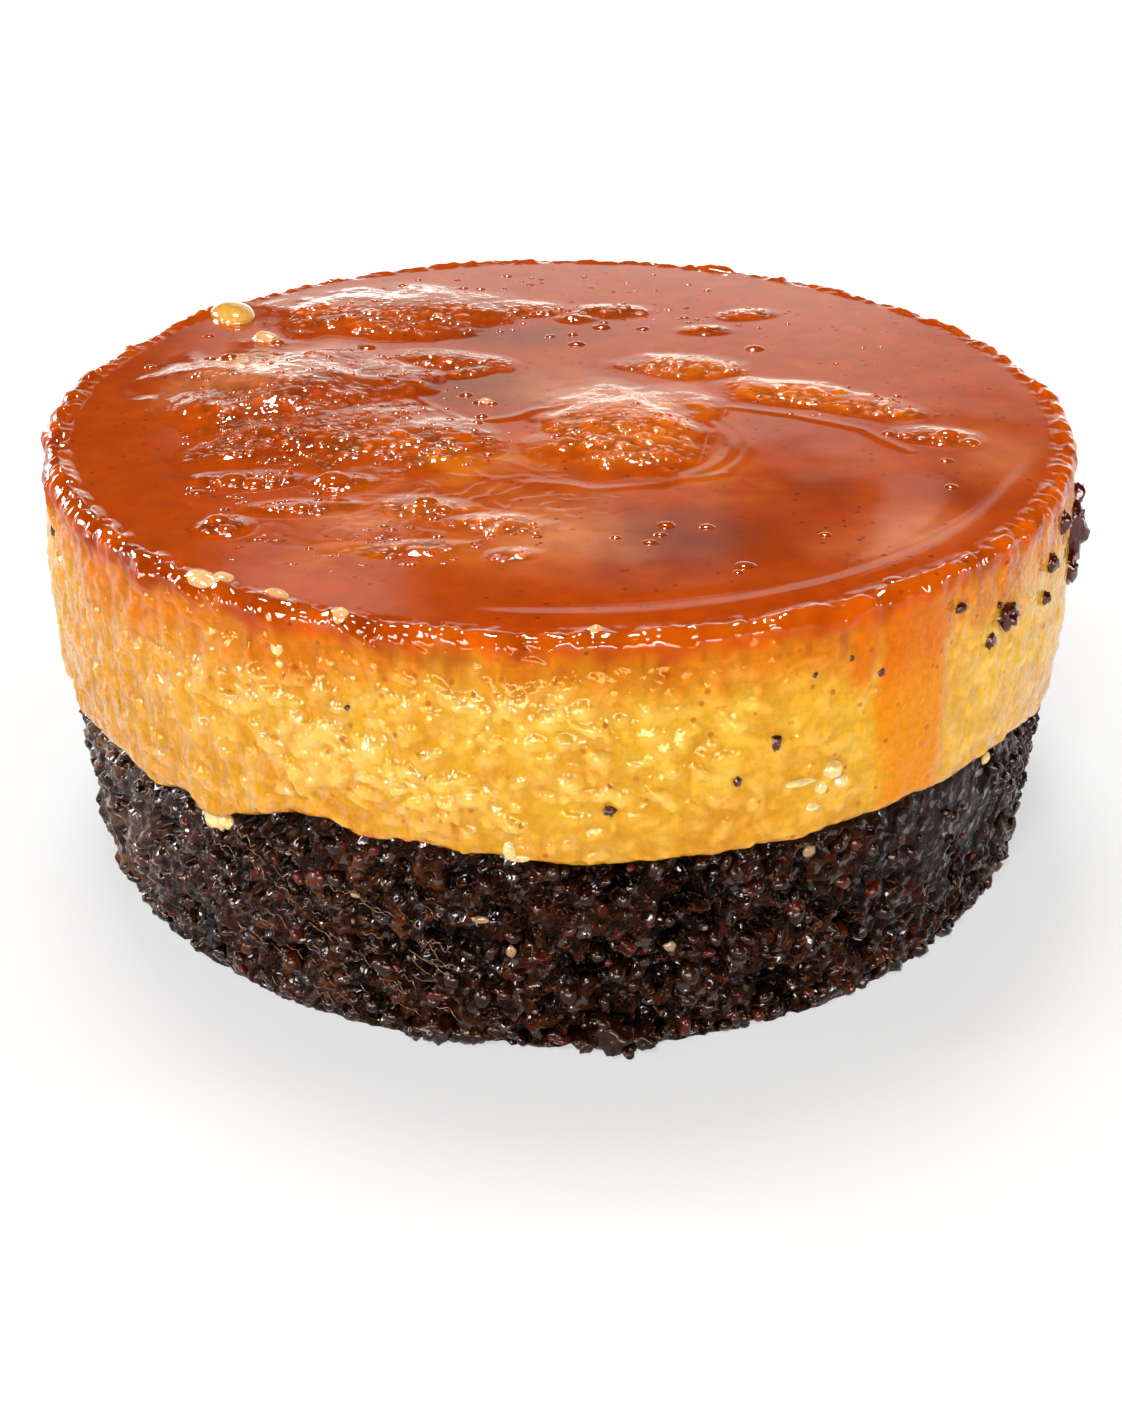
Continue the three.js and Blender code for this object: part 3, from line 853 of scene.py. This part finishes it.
FOOT_CRUMBS = [  # azimuth, height, half sizes across, up and out
    (5.5, 2.5, 2.9, 2.2, 2.2), (8.4, 1.8, 2, 1.6, 2.2), (2.6, 1.4, 1.6, 1.2, 1.8), (6.8, 0.9, 1.4, 0.9, 3),
    (-13.5, 2.3, 2.5, 2, 1.9), (-15.6, 1.3, 1.4, 1.1, 1.8), (84, 2.2, 2.2, 1.9, 1.6),
    (-118, 2.3, 2.4, 2.1, 1.7), (152, 2.4, 2.7, 2.2, 1.8),
]


def foot_crumbs():
    az, z, across, up, out = np.array(FOOT_CRUMBS).T
    centres = on_wall(az, radius_on(CAKE_SIDE, z) + 0.3, np.maximum(z, up * 0.98))
    tones = [0.75 * np.array(CAKE_TONES["brown"])] * len(az)
    sizes = np.stack([across, up, out], 1)
    return blobs("foot_crumbs", centres, wall_frames(az), sizes, tones, 0.5, 0.55, detail=3, seed=73)


DARK_CRUMBS = [  # azimuth, height, half sizes across, up and out
    (50.3, 53.6, 1.9, 1.7, 1.5), (48.6, 55.9, 0.55, 0.5, 0.5), (47.2, 51.3, 0.9, 1, 0.8),
    (42, 58.6, 0.9, 0.7, 0.7), (31.5, 54, 0.5, 0.6, 0.5), (20.2, 47.6, 0.85, 1.1, 0.6),
    (16.5, 43, 0.5, 0.7, 0.5), (24, 56, 0.45, 0.4, 0.4), (28, 57, 0.4, 0.4, 0.4),
    (4.5, 40.5, 0.75, 0.6, 0.6), (62, 55, 1, 1.3, 0.9), (60.5, 50.5, 0.9, 0.9, 0.8), (66, 59, 1, 1.6, 1),
    (74.5, 52.5, 2.3, 4.4, 1.9), (72.5, 48, 1.5, 2.2, 1.5), (76, 57.8, 1.4, 1.8, 1.3),
    (-20, 52.5, 0.35, 0.35, 0.3), (-71, 55, 0.5, 0.9, 0.4), (128, 51, 1.7, 1.5, 1.3),
    (171, 46, 1.5, 1.9, 1.2), (-104, 45.5, 1.2, 1.6, 1.6), (-150, 50, 0.9, 1, 0.8),
]
CREAM_CURDS = [
    (26.4, 41.8, 1.4, 1.3, 1), (27.4, 39.8, 1.2, 1, 0.9), (25.2, 39.6, 0.9, 1.2, 0.8),
    (24.4, 36.9, 1, 0.8, 0.8), (23, 41, 2.2, 0.6, 0.5), (-4.8, 34.4, 0.9, 1.5, 0.8),
    (-3.9, 33.2, 1.6, 0.7, 0.7), (-38.2, 27.6, 2, 1.9, 0.9), (-36.4, 28.2, 1.4, 1.2, 0.8),
    (-27.2, 58.7, 0.9, 1.2, 0.7), (-27, 56.6, 0.6, 0.6, 0.5), (52, 29.6, 1, 0.9, 0.5),
]


def side_specks(name, rows, tone, rough, grain, seed):
    az, z, across, up, out = np.array(rows).T
    profile = [*CAKE_SIDE[:-1], *CUSTARD_SIDE]
    centres = on_wall(az, radius_on(profile, z) + 0.15 * out, z)
    sizes = np.stack([across, up, out], 1)
    # lift paints each speck lighter on its outer side and darker towards the wall
    return blobs(name, centres, wall_frames(az), sizes, [tone] * len(az), rough, grain, 3, seed, lift=0.1)


def dark_crumbs():
    return side_specks("dark_crumbs", DARK_CRUMBS, (0.065, 0.006, 0.002), rough=0.45, grain=0.5, seed=83)


def side_curds():
    return side_specks("cream_curds_side", CREAM_CURDS, (0.97, 0.64, 0.24), rough=0.14, grain=0.8, seed=85)


LARGE_FLECKS = [  # azimuth, height, half sizes across and up
    (-8, 22, 1.2, 0.6), (-5, 17, 0.7, 1), (11, 17, 0.9, 0.8), (25.5, 28.5, 1.1, 1), (-21, 23, 0.7, 0.4),
]


def cake_flecks():
    """Pale bits of custard on the cake's side."""
    draw = np.random.default_rng(23)
    small = draw.uniform((-180, 3, 0.25, 0.2), (180, 27, 0.55, 0.5), (60, 4))
    az, z, across, up = np.concatenate([LARGE_FLECKS, small]).T
    sizes = np.stack([across, up, np.full(len(az), 0.35)], 1)
    centres = on_wall(az, radius_on(CAKE_SIDE, z) + 0.25, z)
    tones = [(0.42, 0.24, 0.10)] * len(LARGE_FLECKS) + [(0.16, 0.08, 0.035)] * len(small)
    return blobs("pale_flecks", centres, wall_frames(az), sizes, tones, rough=0.3, seed=75)


STRAND_SIDES = 5


def tube(path, radius):
    """A thin tube along a path, with closed ends."""
    along = np.gradient(path, axis=0)
    along /= np.linalg.norm(along, axis=1, keepdims=True)
    first = np.cross(along, [0, 0, 1.0])
    first /= np.linalg.norm(first, axis=1, keepdims=True)
    second = np.cross(along, first)
    turn = np.radians(np.arange(STRAND_SIDES) * 360 / STRAND_SIDES)
    thin = radius * np.sqrt(np.clip(1 - np.linspace(-1, 1, len(path)) ** 4, 0.05, 1))
    ring = np.cos(turn)[None, :, None] * first[:, None] + np.sin(turn)[None, :, None] * second[:, None]
    points = (path[:, None] + thin[:, None, None] * ring).reshape(-1, 3)
    ends = len(points) - STRAND_SIDES + np.arange(STRAND_SIDES)
    caps = [cap(np.arange(STRAND_SIDES), len(points), False), cap(ends, len(points) + 1, True)]
    triangles = np.concatenate([grid_triangles(len(path) - 1, STRAND_SIDES), *caps])
    return np.concatenate([points, path[:1], path[-1:]]), triangles


def syrup_strands():
    """Thin wavy strands of dried syrup on the cake's front left."""
    draw = np.random.default_rng(41)
    parts = []
    for _ in range(70):
        step = np.linspace(0, 1, 14)
        az = draw.uniform(-40, -12) + draw.uniform(1.2, 3.4) * step
        z = draw.uniform(4, 28) - draw.uniform(0.2, 3) * step
        wave = draw.uniform(0.15, 0.5) * np.sin(step * draw.uniform(6, 14) + draw.uniform(0, 6))
        z = np.clip(z + wave, 1, 29)
        path = on_wall(az, radius_on(CAKE_SIDE, z) + 0.45 + 0.2 * np.sin(9 * step), z)
        parts.append(tube(path, draw.uniform(0.05, 0.09)))
    points, triangles = joined(parts)
    tone = np.tile((0.15, 0.050, 0.010), (len(points), 1))
    return make_object("syrup_strands", points, triangles, None, tone)


# Bubbles, droplets and bits on top: x, y, half size across, height
TOP_BUBBLES = [
    (14, -43.5, 1.3, 0.9), (13.2, -46.5, 0.9, 0.6), (11.8, -49, 1.1, 0.7), (7.2, -47.5, 0.8, 0.5),
    (19.5, -44, 1, 0.7), (35, -46.6, 0.9, 0.6), (23.7, -56, 1.4, 0.8), (22.6, -58, 0.7, 0.4),
    (-31.8, -29.2, 2.4, 1.7), (-46, -29, 1.9, 1.1), (-43, -30, 1.5, 0.9), (-40.5, -28.6, 1.2, 0.8),
    (-38.8, -26, 1, 0.9), (-50.5, -32.5, 1.1, 0.6), (-46, -43, 1.7, 1.1), (-44.6, -45.6, 1.3, 0.9),
    (-35.4, -38.6, 1.3, 0.9), (-33, -39.4, 1, 0.7), (-18.5, -36.5, 1.5, 1), (-16, -39, 1.3, 0.9),
    (-12, -3.5, 1, 0.7), (-14.8, 5.6, 1.2, 0.8), (-12.6, 2.4, 1.1, 0.8), (-10.6, 1.8, 0.9, 0.7),
    (2.6, 29, 1.5, 0.9), (2, 33.8, 1, 0.7), (-1.8, 32.8, 0.9, 0.6), (31.8, 26.6, 1.7, 1),
    (6.8, 37.6, 1.7, 1), (13.8, 36.8, 1.1, 0.7), (57, -12, 1.8, 1.2), (60, -14.5, 1.3, 0.8),
    (51, -11.5, 1.2, 0.8), (48.5, -10.6, 1, 0.7), (55.5, -21, 1, 0.6), (54.5, -30.5, 1, 0.6),
    (42.4, -60.8, 1.7, 1.1), (-57, 10, 1, 0.7), (-66, 18, 1, 0.7), (-59, 33, 1, 0.6), (-50, 32, 1.5, 1.2),
    (-47, 29, 1.2, 0.9), (-32, 27, 1.6, 1), (-54, 22.5, 1.5, 0.9), (-57, 21.5, 1.1, 0.7),
]
BUBBLE_FIELDS = [  # centre x and y, half sizes, count, smallest and largest bubble
    (-14, -48, 12, 9, 46, 0.35, 1), (-32, -52, 11, 9, 26, 0.3, 0.8), (-40, -33, 13, 6, 30, 0.35, 1),
    (-36, 8, 22, 18, 90, 0.35, 0.95), (-36, -12, 20, 13, 80, 0.35, 1), (-18, -14, 11, 12, 34, 0.4, 1.1),
    (10, -13, 13, 12, 34, 0.4, 1.1), (20, 17, 9, 5, 12, 0.4, 0.9), (44, 3, 16, 7, 26, 0.4, 1),
    (-28, 40, 24, 8, 40, 0.4, 1.1), (-25, 62, 22, 6, 20, 0.5, 1.2), (10, 46, 14, 7, 24, 0.4, 1.1),
    (30, 42, 12, 7, 18, 0.4, 1), (15, 62, 20, 6, 16, 0.4, 1), (50, 28, 12, 12, 10, 0.3, 0.7),
]


def top_height(x, y):
    r = np.hypot(x, y)
    azimuth = azimuth_of(x, y)
    surface = top_surface(x, y)[0]
    return HEIGHT + smooth(RIM_RADIUS - r, 1.2, 8.0) * surface + ribbon(azimuth, r)


def top_bubbles():
    """Wet bubbles and bits of custard that stand in the syrup."""
    draw = np.random.default_rng(31)
    rows = list(TOP_BUBBLES)
    for cx, cy, half_x, half_y, count, low, high in BUBBLE_FIELDS:
        for _ in range(count):
            turn, far = draw.uniform(0, 2 * math.pi), math.sqrt(draw.random())
            size = low + (high - low) * draw.random() ** 2
            bx, by = cx + far * half_x * math.cos(turn), cy + far * half_y * math.sin(turn)
            if math.hypot(bx, by) < 69:
                rows.append((bx, by, 0.8 * size, 0.55 * size))
    x, y, across, up = np.array(rows).T
    z = top_height(x, y)
    sizes = np.stack([1.2 * across, 1.2 * across * draw.uniform(0.75, 1.05, len(x)), 0.9 * up], 1)
    centres = np.stack([x, y, z - 0.4 * up], 1)
    _, depth, _, _, orange, _ = top_surface(x, y)
    tones = 0.72 * syrup_tone(np.minimum(depth + 0.5, 1.6), np.maximum(orange, 0.15))
    frames = np.repeat(np.eye(3)[None], len(x), 0)
    # lift paints each bubble lighter on top and darker at its foot
    return blobs("caramel_bubbles", centres, frames, sizes, tones, 0.10, 1.1, seed=77, lift=0.35)


TOP_CURDS = [  # x, y, z above the surface, half sizes round the cake, towards its middle and up
    (-49, 30.5, 0.2, 1.7, 2.4, 1.1), (-45.4, -59.8, -0.5, 3.2, 1.4, 1.5), (-43, -60.4, -0.2, 1.6, 1.7, 1.2),
    (-35.6, -64.4, -0.4, 2.1, 1.2, 1.1), (-27, -70.6, -0.7, 1.7, 1.2, 1.7),
    (4.2, -74.2, -0.2, 1.1, 0.9, 0.9), (-11.5, 2.2, 0.1, 0.8, 1, 0.6),
]


def top_curds():
    x, y, lift, across, along, up = np.array(TOP_CURDS).T
    z = top_height(x, y) + lift
    r = np.hypot(x, y)
    z = np.where(r > DISC_RADIUS, HEIGHT - 0.5, z)
    centres = np.stack([x, y, z], 1)
    frames = wall_frames(azimuth_of(x, y))[:, :, [0, 2, 1]] * [1, -1, 1]
    sizes = np.stack([across, along, up], 1)
    tones = [(0.98, 0.44, 0.17)] * len(x)
    # lift paints each curd lighter on top and darker at its foot
    return blobs("cream_curds_top", centres, frames, sizes, tones, 0.09, 0.9, 3, 79, lift=0.25)


def yellow_drop():
    x, y = np.array([[-56.5], [43.5]])
    centre = np.stack([x, y, top_height(x, y) + 0.2], 1)
    axes = np.array(Matrix.Rotation(math.radians(24), 3, "Z"))
    return blobs("custard_drop", centre, [axes], [(3.6, 5.4, 1.9)], [(0.90, 0.46, 0.09)], 0.06, 1.4, 4, 81)


# ---------------------------------------------------------------- materials
class Nodes:
    """Shader nodes, each added by its kind with its settings and inputs."""

    def __init__(self, tree):
        self.tree = tree
        tree.nodes.clear()

    def add(self, kind, inputs=None, **settings):
        node = self.tree.nodes.new(kind)
        for key, value in settings.items():
            setattr(node, key, value)
        for key, value in (inputs or {}).items():
            self.set(node, key, value)
        return node

    def set(self, node, key, value):
        if isinstance(value, bpy.types.NodeSocket):
            self.tree.links.new(value, node.inputs[key])
        elif isinstance(value, bpy.types.Node):
            self.tree.links.new(value.outputs[0], node.inputs[key])
        else:
            node.inputs[key].default_value = value

    def number(self, operation, a, b=0.0, clamp=False):
        return self.add("ShaderNodeMath", {0: a, 1: b}, operation=operation, use_clamp=clamp)

    def times(self, a, b, clamp=False):
        return self.number("MULTIPLY", a, b, clamp)

    def ramp(self, value, low, high, to_low=0.0, to_high=1.0, soft=False):
        kind = "SMOOTHSTEP" if soft else "LINEAR"
        inputs = {0: value, 1: low, 2: high, 3: to_low, 4: to_high}
        return self.add("ShaderNodeMapRange", inputs, interpolation_type=kind)


class Material(Nodes):
    """A material with one surface shader."""

    def __init__(self, name):
        self.data = bpy.data.materials.new(name)
        self.data.use_nodes = True
        super().__init__(self.data.node_tree)
        self.surface = self.add("ShaderNodeBsdfPrincipled")
        end = self.add("ShaderNodeOutputMaterial")
        self.tree.links.new(self.surface.outputs[0], end.inputs["Surface"])

    def shade(self, **inputs):
        for key, value in inputs.items():
            self.set(self.surface, key.replace("_", " "), value)

    def tone(self):
        return self.add("ShaderNodeAttribute", attribute_name="tone").outputs["Color"]

    def share(self, name):
        return self.add("ShaderNodeAttribute", attribute_name=name).outputs["Fac"]

    def place(self, stretch=None):
        where = self.add("ShaderNodeTexCoord").outputs["Object"]
        if stretch:
            where = self.add("ShaderNodeMapping", {"Vector": where, "Scale": stretch}).outputs[0]
        return where

    def pattern(self, size_mm, detail=2.0, roughness=0.5, stretch=None):
        inputs = {"Vector": self.place(stretch), "Scale": 1 / (size_mm * MM)}
        inputs |= {"Detail": detail, "Roughness": roughness}
        return self.add("ShaderNodeTexNoise", inputs).outputs["Fac"]

    def cell_distance(self, step_mm):
        inputs = {"Vector": self.place(), "Scale": 1 / (step_mm * MM), "Randomness": 1.0}
        return self.add("ShaderNodeTexVoronoi", inputs).outputs["Distance"]

    def spots(self, step_mm, radius):
        """1 in round spots about step_mm apart, whose radius is a share of that step."""
        return self.ramp(self.cell_distance(step_mm), radius, radius * 0.5, soft=True)

    def domes(self, step_mm):
        """Round heads about step_mm apart, from 0 between them to 1 on top."""
        return self.ramp(self.cell_distance(step_mm), 0.55, 0.0, soft=True)

    def bump(self, height, distance_mm, strength=1.0, below=None):
        inputs = {"Height": height, "Distance": distance_mm * MM, "Strength": strength}
        if below is not None:
            inputs["Normal"] = below
        return self.add("ShaderNodeBump", inputs).outputs[0]

    def blend(self, kind, share, a, b):
        node = self.add("ShaderNodeMix", data_type="RGBA", blend_type=kind)
        for key, value in ((0, share), (6, a), (7, b)):
            self.set(node, key, value)
        return node.outputs[2]

    def grey(self, value):
        return self.add("ShaderNodeCombineColor", {0: value, 1: value, 2: value})

    def mottled(self, tone, pattern, low, high):
        return self.blend("MULTIPLY", 1.0, tone, self.grey(self.ramp(pattern, 0.3, 0.7, low, high)))


def caramel_material():
    m = Material("caramel_glaze")
    tone = m.mottled(m.tone(), m.pattern(4, 4), 0.88, 1.12)
    dust = m.times(m.spots(2.5, 0.19), m.ramp(m.pattern(14, 2), 0.38, 0.55))
    tone = m.blend("MIX", m.times(dust, 0.65), tone, (0.12, 0.018, 0.002, 1))
    crag = m.share("crag")
    wet = m.share("wet")
    clumps = m.times(m.ramp(m.pattern(5.5, 2), 0.30, 0.48, soft=True), crag)
    large, fine = m.domes(1.5), m.domes(0.9)
    # Painted light and shade: dome heads on the crags lighter, the dips between them darker, matching the
    # bump
    tone = m.blend("MULTIPLY", clumps, tone, m.grey(m.ramp(large, 0, 0.8, 0.70, 1.35)))
    normal = m.bump(m.times(large, clumps), 0.20)
    normal = m.bump(m.times(fine, clumps), 0.06, below=normal)
    m.shade(Base_Color=tone, Roughness=0.12, Normal=normal, Specular_IOR_Level=0.18)
    m.shade(Specular_Tint=(1.0, 0.40, 0.10, 1), Coat_Weight=m.ramp(wet, 0, 1, 0.03, 1.0))
    m.shade(Coat_Roughness=0.03, Coat_IOR=1.55, Coat_Normal=normal)
    m.shade(Subsurface_Weight=0.15, Subsurface_Radius=(1.0, 0.25, 0.05), Subsurface_Scale=1.5 * MM)
    return m.data


def custard_material():
    m = Material("custard_flesh")
    tone = m.mottled(m.tone(), m.pattern(1.0, 5, 0.65), 0.88, 1.14)
    pores = m.times(m.spots(1.1, 0.26), m.ramp(m.pattern(4, 3), 0.48, 0.60))
    tone = m.blend("MULTIPLY", m.times(pores, 0.5), tone, (0.96, 0.62, 0.25, 1))
    specks = m.times(m.spots(2.8, 0.19), m.ramp(m.pattern(9, 2), 0.38, 0.52))
    tone = m.blend("MIX", m.times(specks, 0.75), tone, (0.50, 0.105, 0.008, 1))
    wet = m.share("wet")
    running = m.ramp(wet, 0.25, 0.5)
    normal = m.bump(m.pattern(1.3, 2, 0.5, (1, 1, 0.7)), 0.26)
    normal = m.bump(m.times(m.pattern(0.8, 2, 0.5, (1, 1, 0.28)), running), 0.34, below=normal)
    normal = m.bump(m.domes(1.9), 0.14, below=normal)
    m.shade(Base_Color=tone, Roughness=0.10, Normal=normal, Specular_IOR_Level=0.24)
    streaks = m.ramp(m.pattern(1.5, 2, 0.5, (1, 1, 0.36)), 0.50, 0.58)
    patchy = m.times(m.times(streaks, running), 2.2)
    whole = m.number("SUBTRACT", 1.0, m.times(running, 0.75))
    coat = m.times(wet, m.number("ADD", whole, patchy), clamp=True)
    m.shade(Specular_Tint=(1.0, 0.65, 0.15, 1), Coat_Weight=coat)
    m.shade(Coat_Roughness=0.04, Coat_IOR=1.5, Coat_Normal=normal)
    m.shade(Subsurface_Weight=0.3, Subsurface_Radius=(1.0, 0.5, 0.15), Subsurface_Scale=1.2 * MM)
    return m.data


def cake_material():
    m = Material("wet_chocolate_crumb")
    grain = m.pattern(0.6, 4, 0.65)
    gaps = m.ramp(m.pattern(1.9, 3, 0.6), 0.40, 0.52, soft=True)
    tone = m.mottled(m.tone(), grain, 0.6, 1.7)
    # Painted shade: the gaps of the crumb darkened, matching the bump
    tone = m.blend("MULTIPLY", 1.0, tone, m.grey(m.ramp(gaps, 0, 1, 0.10, 1.12)))
    skin = m.share("skin")
    rough = m.number("SUBTRACT", 1.0, m.times(skin, 0.7))
    wet = m.share("wet")
    film = m.bump(m.times(m.pattern(1.4, 1, 0.4), rough), 0.16)
    rough = m.times(rough, m.ramp(wet, 0, 1, 1.0, 0.35))
    normal = m.bump(m.times(gaps, rough), 0.30)
    normal = m.bump(m.times(m.pattern(0.7, 2, 0.5), rough), 0.14, below=normal)
    patches = m.times(m.ramp(m.pattern(1.6, 2), 0.54, 0.60, soft=True), gaps)
    least = m.times(wet, 0.22)
    m.shade(Base_Color=tone, Normal=normal, Roughness=m.ramp(skin, 0, 1, 0.12, 0.24))
    m.shade(Specular_IOR_Level=0.08, Specular_Tint=(1.0, 0.50, 0.32, 1))
    m.shade(Coat_Weight=m.number("MAXIMUM", patches, least))
    m.shade(Coat_Roughness=0.03, Coat_IOR=1.5, Coat_Normal=film)
    return m.data


SMALL_LOOKS = {  # roughness, tint of the gloss, bump in mm, subsurface, specular, coat
    "custard_syrup": (0.1, (1.0, 0.8, 0.4), 0.005, 0.3, 0.4, 1.0),
    "wet_crumb": (0.10, (1.0, 0.52, 0.36), 0.12, 0.0, 0.17, 0.30),
    "cream_curd": (0.14, (1.0, 0.9, 0.7), 0.05, 0.4, 0.4, 0.8),
    "syrup_bubble": (0.06, (1.0, 0.5, 0.2), 0.01, 0.1, 0.3, 1.0),
    "dark_crumb": (0.09, (1.0, 0.5, 0.4), 0.1, 0.0, 0.2, 0.8),
}


def small_material(name, roughness, gloss_tone, bump_mm, subsurface, specular, coat):
    m = Material(name)
    grain = m.pattern(0.5, 3, 0.6)
    m.shade(Base_Color=m.mottled(m.tone(), grain, 0.8, 1.15), Roughness=roughness)
    m.shade(Normal=m.bump(grain, bump_mm), Specular_IOR_Level=specular, Specular_Tint=(*gloss_tone, 1))
    m.shade(Subsurface_Weight=subsurface, Subsurface_Radius=(1.0, 0.5, 0.2), Subsurface_Scale=1.0 * MM)
    m.shade(Coat_Weight=coat, Coat_Roughness=0.03, Coat_IOR=1.5)
    return m.data


def floor_material():
    """A white table that glows by itself: painted light, which keeps the cake's shadow light. The glow is
    weaker near the cake, a painted shadow round it, greater far from it and strongest in a band behind.
    """
    m = Material("pale_floor")
    m.shade(Base_Color=m.grey(m.ramp(m.pattern(60, 2), 0.3, 0.7, 0.34, 0.36)), Roughness=0.8)
    place = m.place()
    across, back, _ = m.add("ShaderNodeSeparateXYZ", {0: place}).outputs
    far = m.add("ShaderNodeVectorMath", {0: place}, operation="LENGTH").outputs["Value"]
    behind = m.number("SUBTRACT", back, m.times(m.number("ABSOLUTE", across), 1.2))
    near_glow = m.ramp(far, 0.08, 0.24, 0.58, 0.88, soft=True)
    glow = m.number("ADD", near_glow, m.ramp(behind, 0.15, 0.6, 0.0, 2.4, soft=True))
    m.shade(Specular_IOR_Level=0.1, Emission_Color=(1, 1, 1, 1), Emission_Strength=glow)
    return m.data


# ---------------------------------------------------------------- stage, lights and camera
FLOOR_REACH = 20000.0  # from the middle to each edge, in mm


def make_floor():
    corners = np.array([(-1, -1, 0), (1, -1, 0), (1, 1, 0), (-1, 1, 0)]) * FLOOR_REACH - [0, 0, 0.2]
    floor = make_object("floor", corners, np.array([(0, 1, 2), (0, 2, 3)]))
    floor.data.materials.append(floor_material())


def softbox(name, at, aim, size, radiance, lights):
    """A rectangular light of a given brightness, for diffuse surfaces, for gloss or for both."""
    data = bpy.data.lights.new(name, "AREA")
    data.shape = "RECTANGLE"
    data.size, data.size_y = size
    data.energy = radiance * math.pi * size[0] * size[1]
    box = bpy.data.objects.new(name, data)
    box.location = at
    box.rotation_euler = (Vector(aim) - Vector(at)).to_track_quat("-Z", "Y").to_euler()
    box.visible_diffuse = lights != "gloss"
    box.visible_glossy = lights != "diffuse"
    bpy.context.scene.collection.objects.link(box)


SKY_BASE = 0.018
# White panels behind the cake: ends in azimuth and elevation, softness of each, brightness.
# The azimuth is 0 behind the cake (+Y) and 90 at its right.
SKY_PANELS = [
    (-32, -10.5, 2, 13.0, 1.0, 2.0, 0.60),
    (-10.5, 40, -5, 18.2, 1.0, 1.6, 0.20),
    (-10.5, 10.0, -5, 22.4, 2.5, 0.7, 0.52),
    (10.0, 40, -5, 21.0, 2.5, 1.0, 0.36),
    (9.8, 11.8, 22.4, 27, 0.5, 0.5, 0.40),
    (1.0, 5.5, 23.2, 25.8, 1.0, 1.0, 0.32),
    (-10.5, -5, 24.6, 28, 1.3, 1.3, 0.54),
]
HORIZON = (3.0, 9.0, 0.9)  # a bright band below these elevations


def make_world():
    world = bpy.data.worlds.new("studio")
    world.use_nodes = True
    n = Nodes(world.node_tree)
    toward = n.add("ShaderNodeSeparateXYZ", {0: n.add("ShaderNodeTexCoord").outputs["Generated"]})
    azimuth = n.number("DEGREES", n.number("ARCTAN2", toward.outputs[0], toward.outputs[1]))
    elevation = n.number("DEGREES", n.number("ARCSINE", toward.outputs[2]))
    low, high, bright = HORIZON
    total = n.ramp(elevation, high, low, SKY_BASE, bright, soft=True)
    for left, right, low, high, wide, tall, bright in SKY_PANELS:
        panel = n.times(n.ramp(azimuth, left - wide, left + wide, soft=True), bright)
        panel = n.times(panel, n.ramp(azimuth, right + wide, right - wide, soft=True))
        panel = n.times(panel, n.ramp(elevation, low - tall, low + tall, soft=True))
        panel = n.times(panel, n.ramp(elevation, high + tall, high - tall, soft=True))
        total = n.number("ADD", total, panel)
    sky = n.add("ShaderNodeBackground", {"Color": (1, 0.95, 0.86, 1), "Strength": total})
    n.add("ShaderNodeOutputWorld", {"Surface": sky})
    bpy.context.scene.world = world


LAMP_DISTANCE = 3.0
LAMP_AIM = Vector((0, 0, 0.04))
LAMPS = [  # name, azimuth and elevation seen from the cake, width and height, brightness, what it lights
    ("key", 195, 72, (0.88, 0.88), 23.0, "diffuse"),
    ("front_top", -14, 52, (0.78, 0.68), 21.5, "both"),
    ("front_left", -24, 9, (0.11, 0.48), 66.0, "both"),
    ("front_right", 28, 10, (0.11, 0.48), 66.0, "both"),
    ("left", -85, 13, (0.17, 1.15), 36.0, "both"),
    ("left_streak", -58, 14, (0.70, 1.00), 38.0, "gloss"),
    ("left_window", -122, 16, (0.90, 1.00), 42.0, "gloss"),
    ("left_back", -130, 14, (0.25, 0.80), 14.0, "both"),
    ("right", 95, 15, (0.30, 0.80), 19.0, "both"),
    ("top_window", 190, 67, (0.50, 0.50), 165.0, "gloss"),
    ("front_window", 2, 9, (2.4, 0.75), 22.0, "gloss"),
]


def light_scene():
    make_world()
    for name, azimuth, elevation, size, brightness, lights in LAMPS:
        a, e = math.radians(azimuth), math.radians(elevation)
        toward = Vector((math.sin(a) * math.cos(e), -math.cos(a) * math.cos(e), math.sin(e)))
        softbox(name, LAMP_AIM + LAMP_DISTANCE * toward, LAMP_AIM, size, brightness, lights)


CAMERA_PLACE = (0.0, -0.2886, 0.1748)
CAMERA_PITCH = 29.35  # degrees below level
LENS = 51.36


def make_camera():
    data = bpy.data.cameras.new("camera")
    data.lens = LENS
    data.sensor_width = 36.0
    data.clip_start = 0.01
    camera = bpy.data.objects.new("camera", data)
    turned = Matrix.Rotation(math.radians(90 - CAMERA_PITCH), 4, "X")
    camera.matrix_world = Matrix.Translation(CAMERA_PLACE) @ turned
    bpy.context.scene.collection.objects.link(camera)
    bpy.context.scene.camera = camera


def place_piece(piece, material, node=None):
    piece.data.materials.clear()
    piece.data.materials.append(material)
    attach(piece, "root")
    if node:
        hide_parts(node)


caramel_piece, custard_piece = make_top_and_custard()
place_piece(caramel_piece, caramel_material(), "caramel")
place_piece(custard_piece, custard_material(), "custard")
place_piece(make_cake(), cake_material(), "chocolate_cake")
syrup, crumb, cream, bubble, dark = (small_material(name, *look) for name, look in SMALL_LOOKS.items())
for piece, material, slot in (
    (cake_lumps(), crumb, "chocolate_cake"),
    (foot_crumbs(), crumb, "chocolate_cake"),
    (dark_crumbs(), dark, "chocolate_cake"),
    (side_curds(), cream, "custard"),
    (cake_flecks(), cream, "custard"),
    (syrup_strands(), cream, "caramel"),
    (top_bubbles(), bubble, "caramel"),
    (top_curds(), cream, "custard"),
    (yellow_drop(), syrup, "custard"),
):
    place_piece(piece, material)
make_floor()
light_scene()
make_camera()

bpy.context.scene.view_settings.view_transform = "Standard"
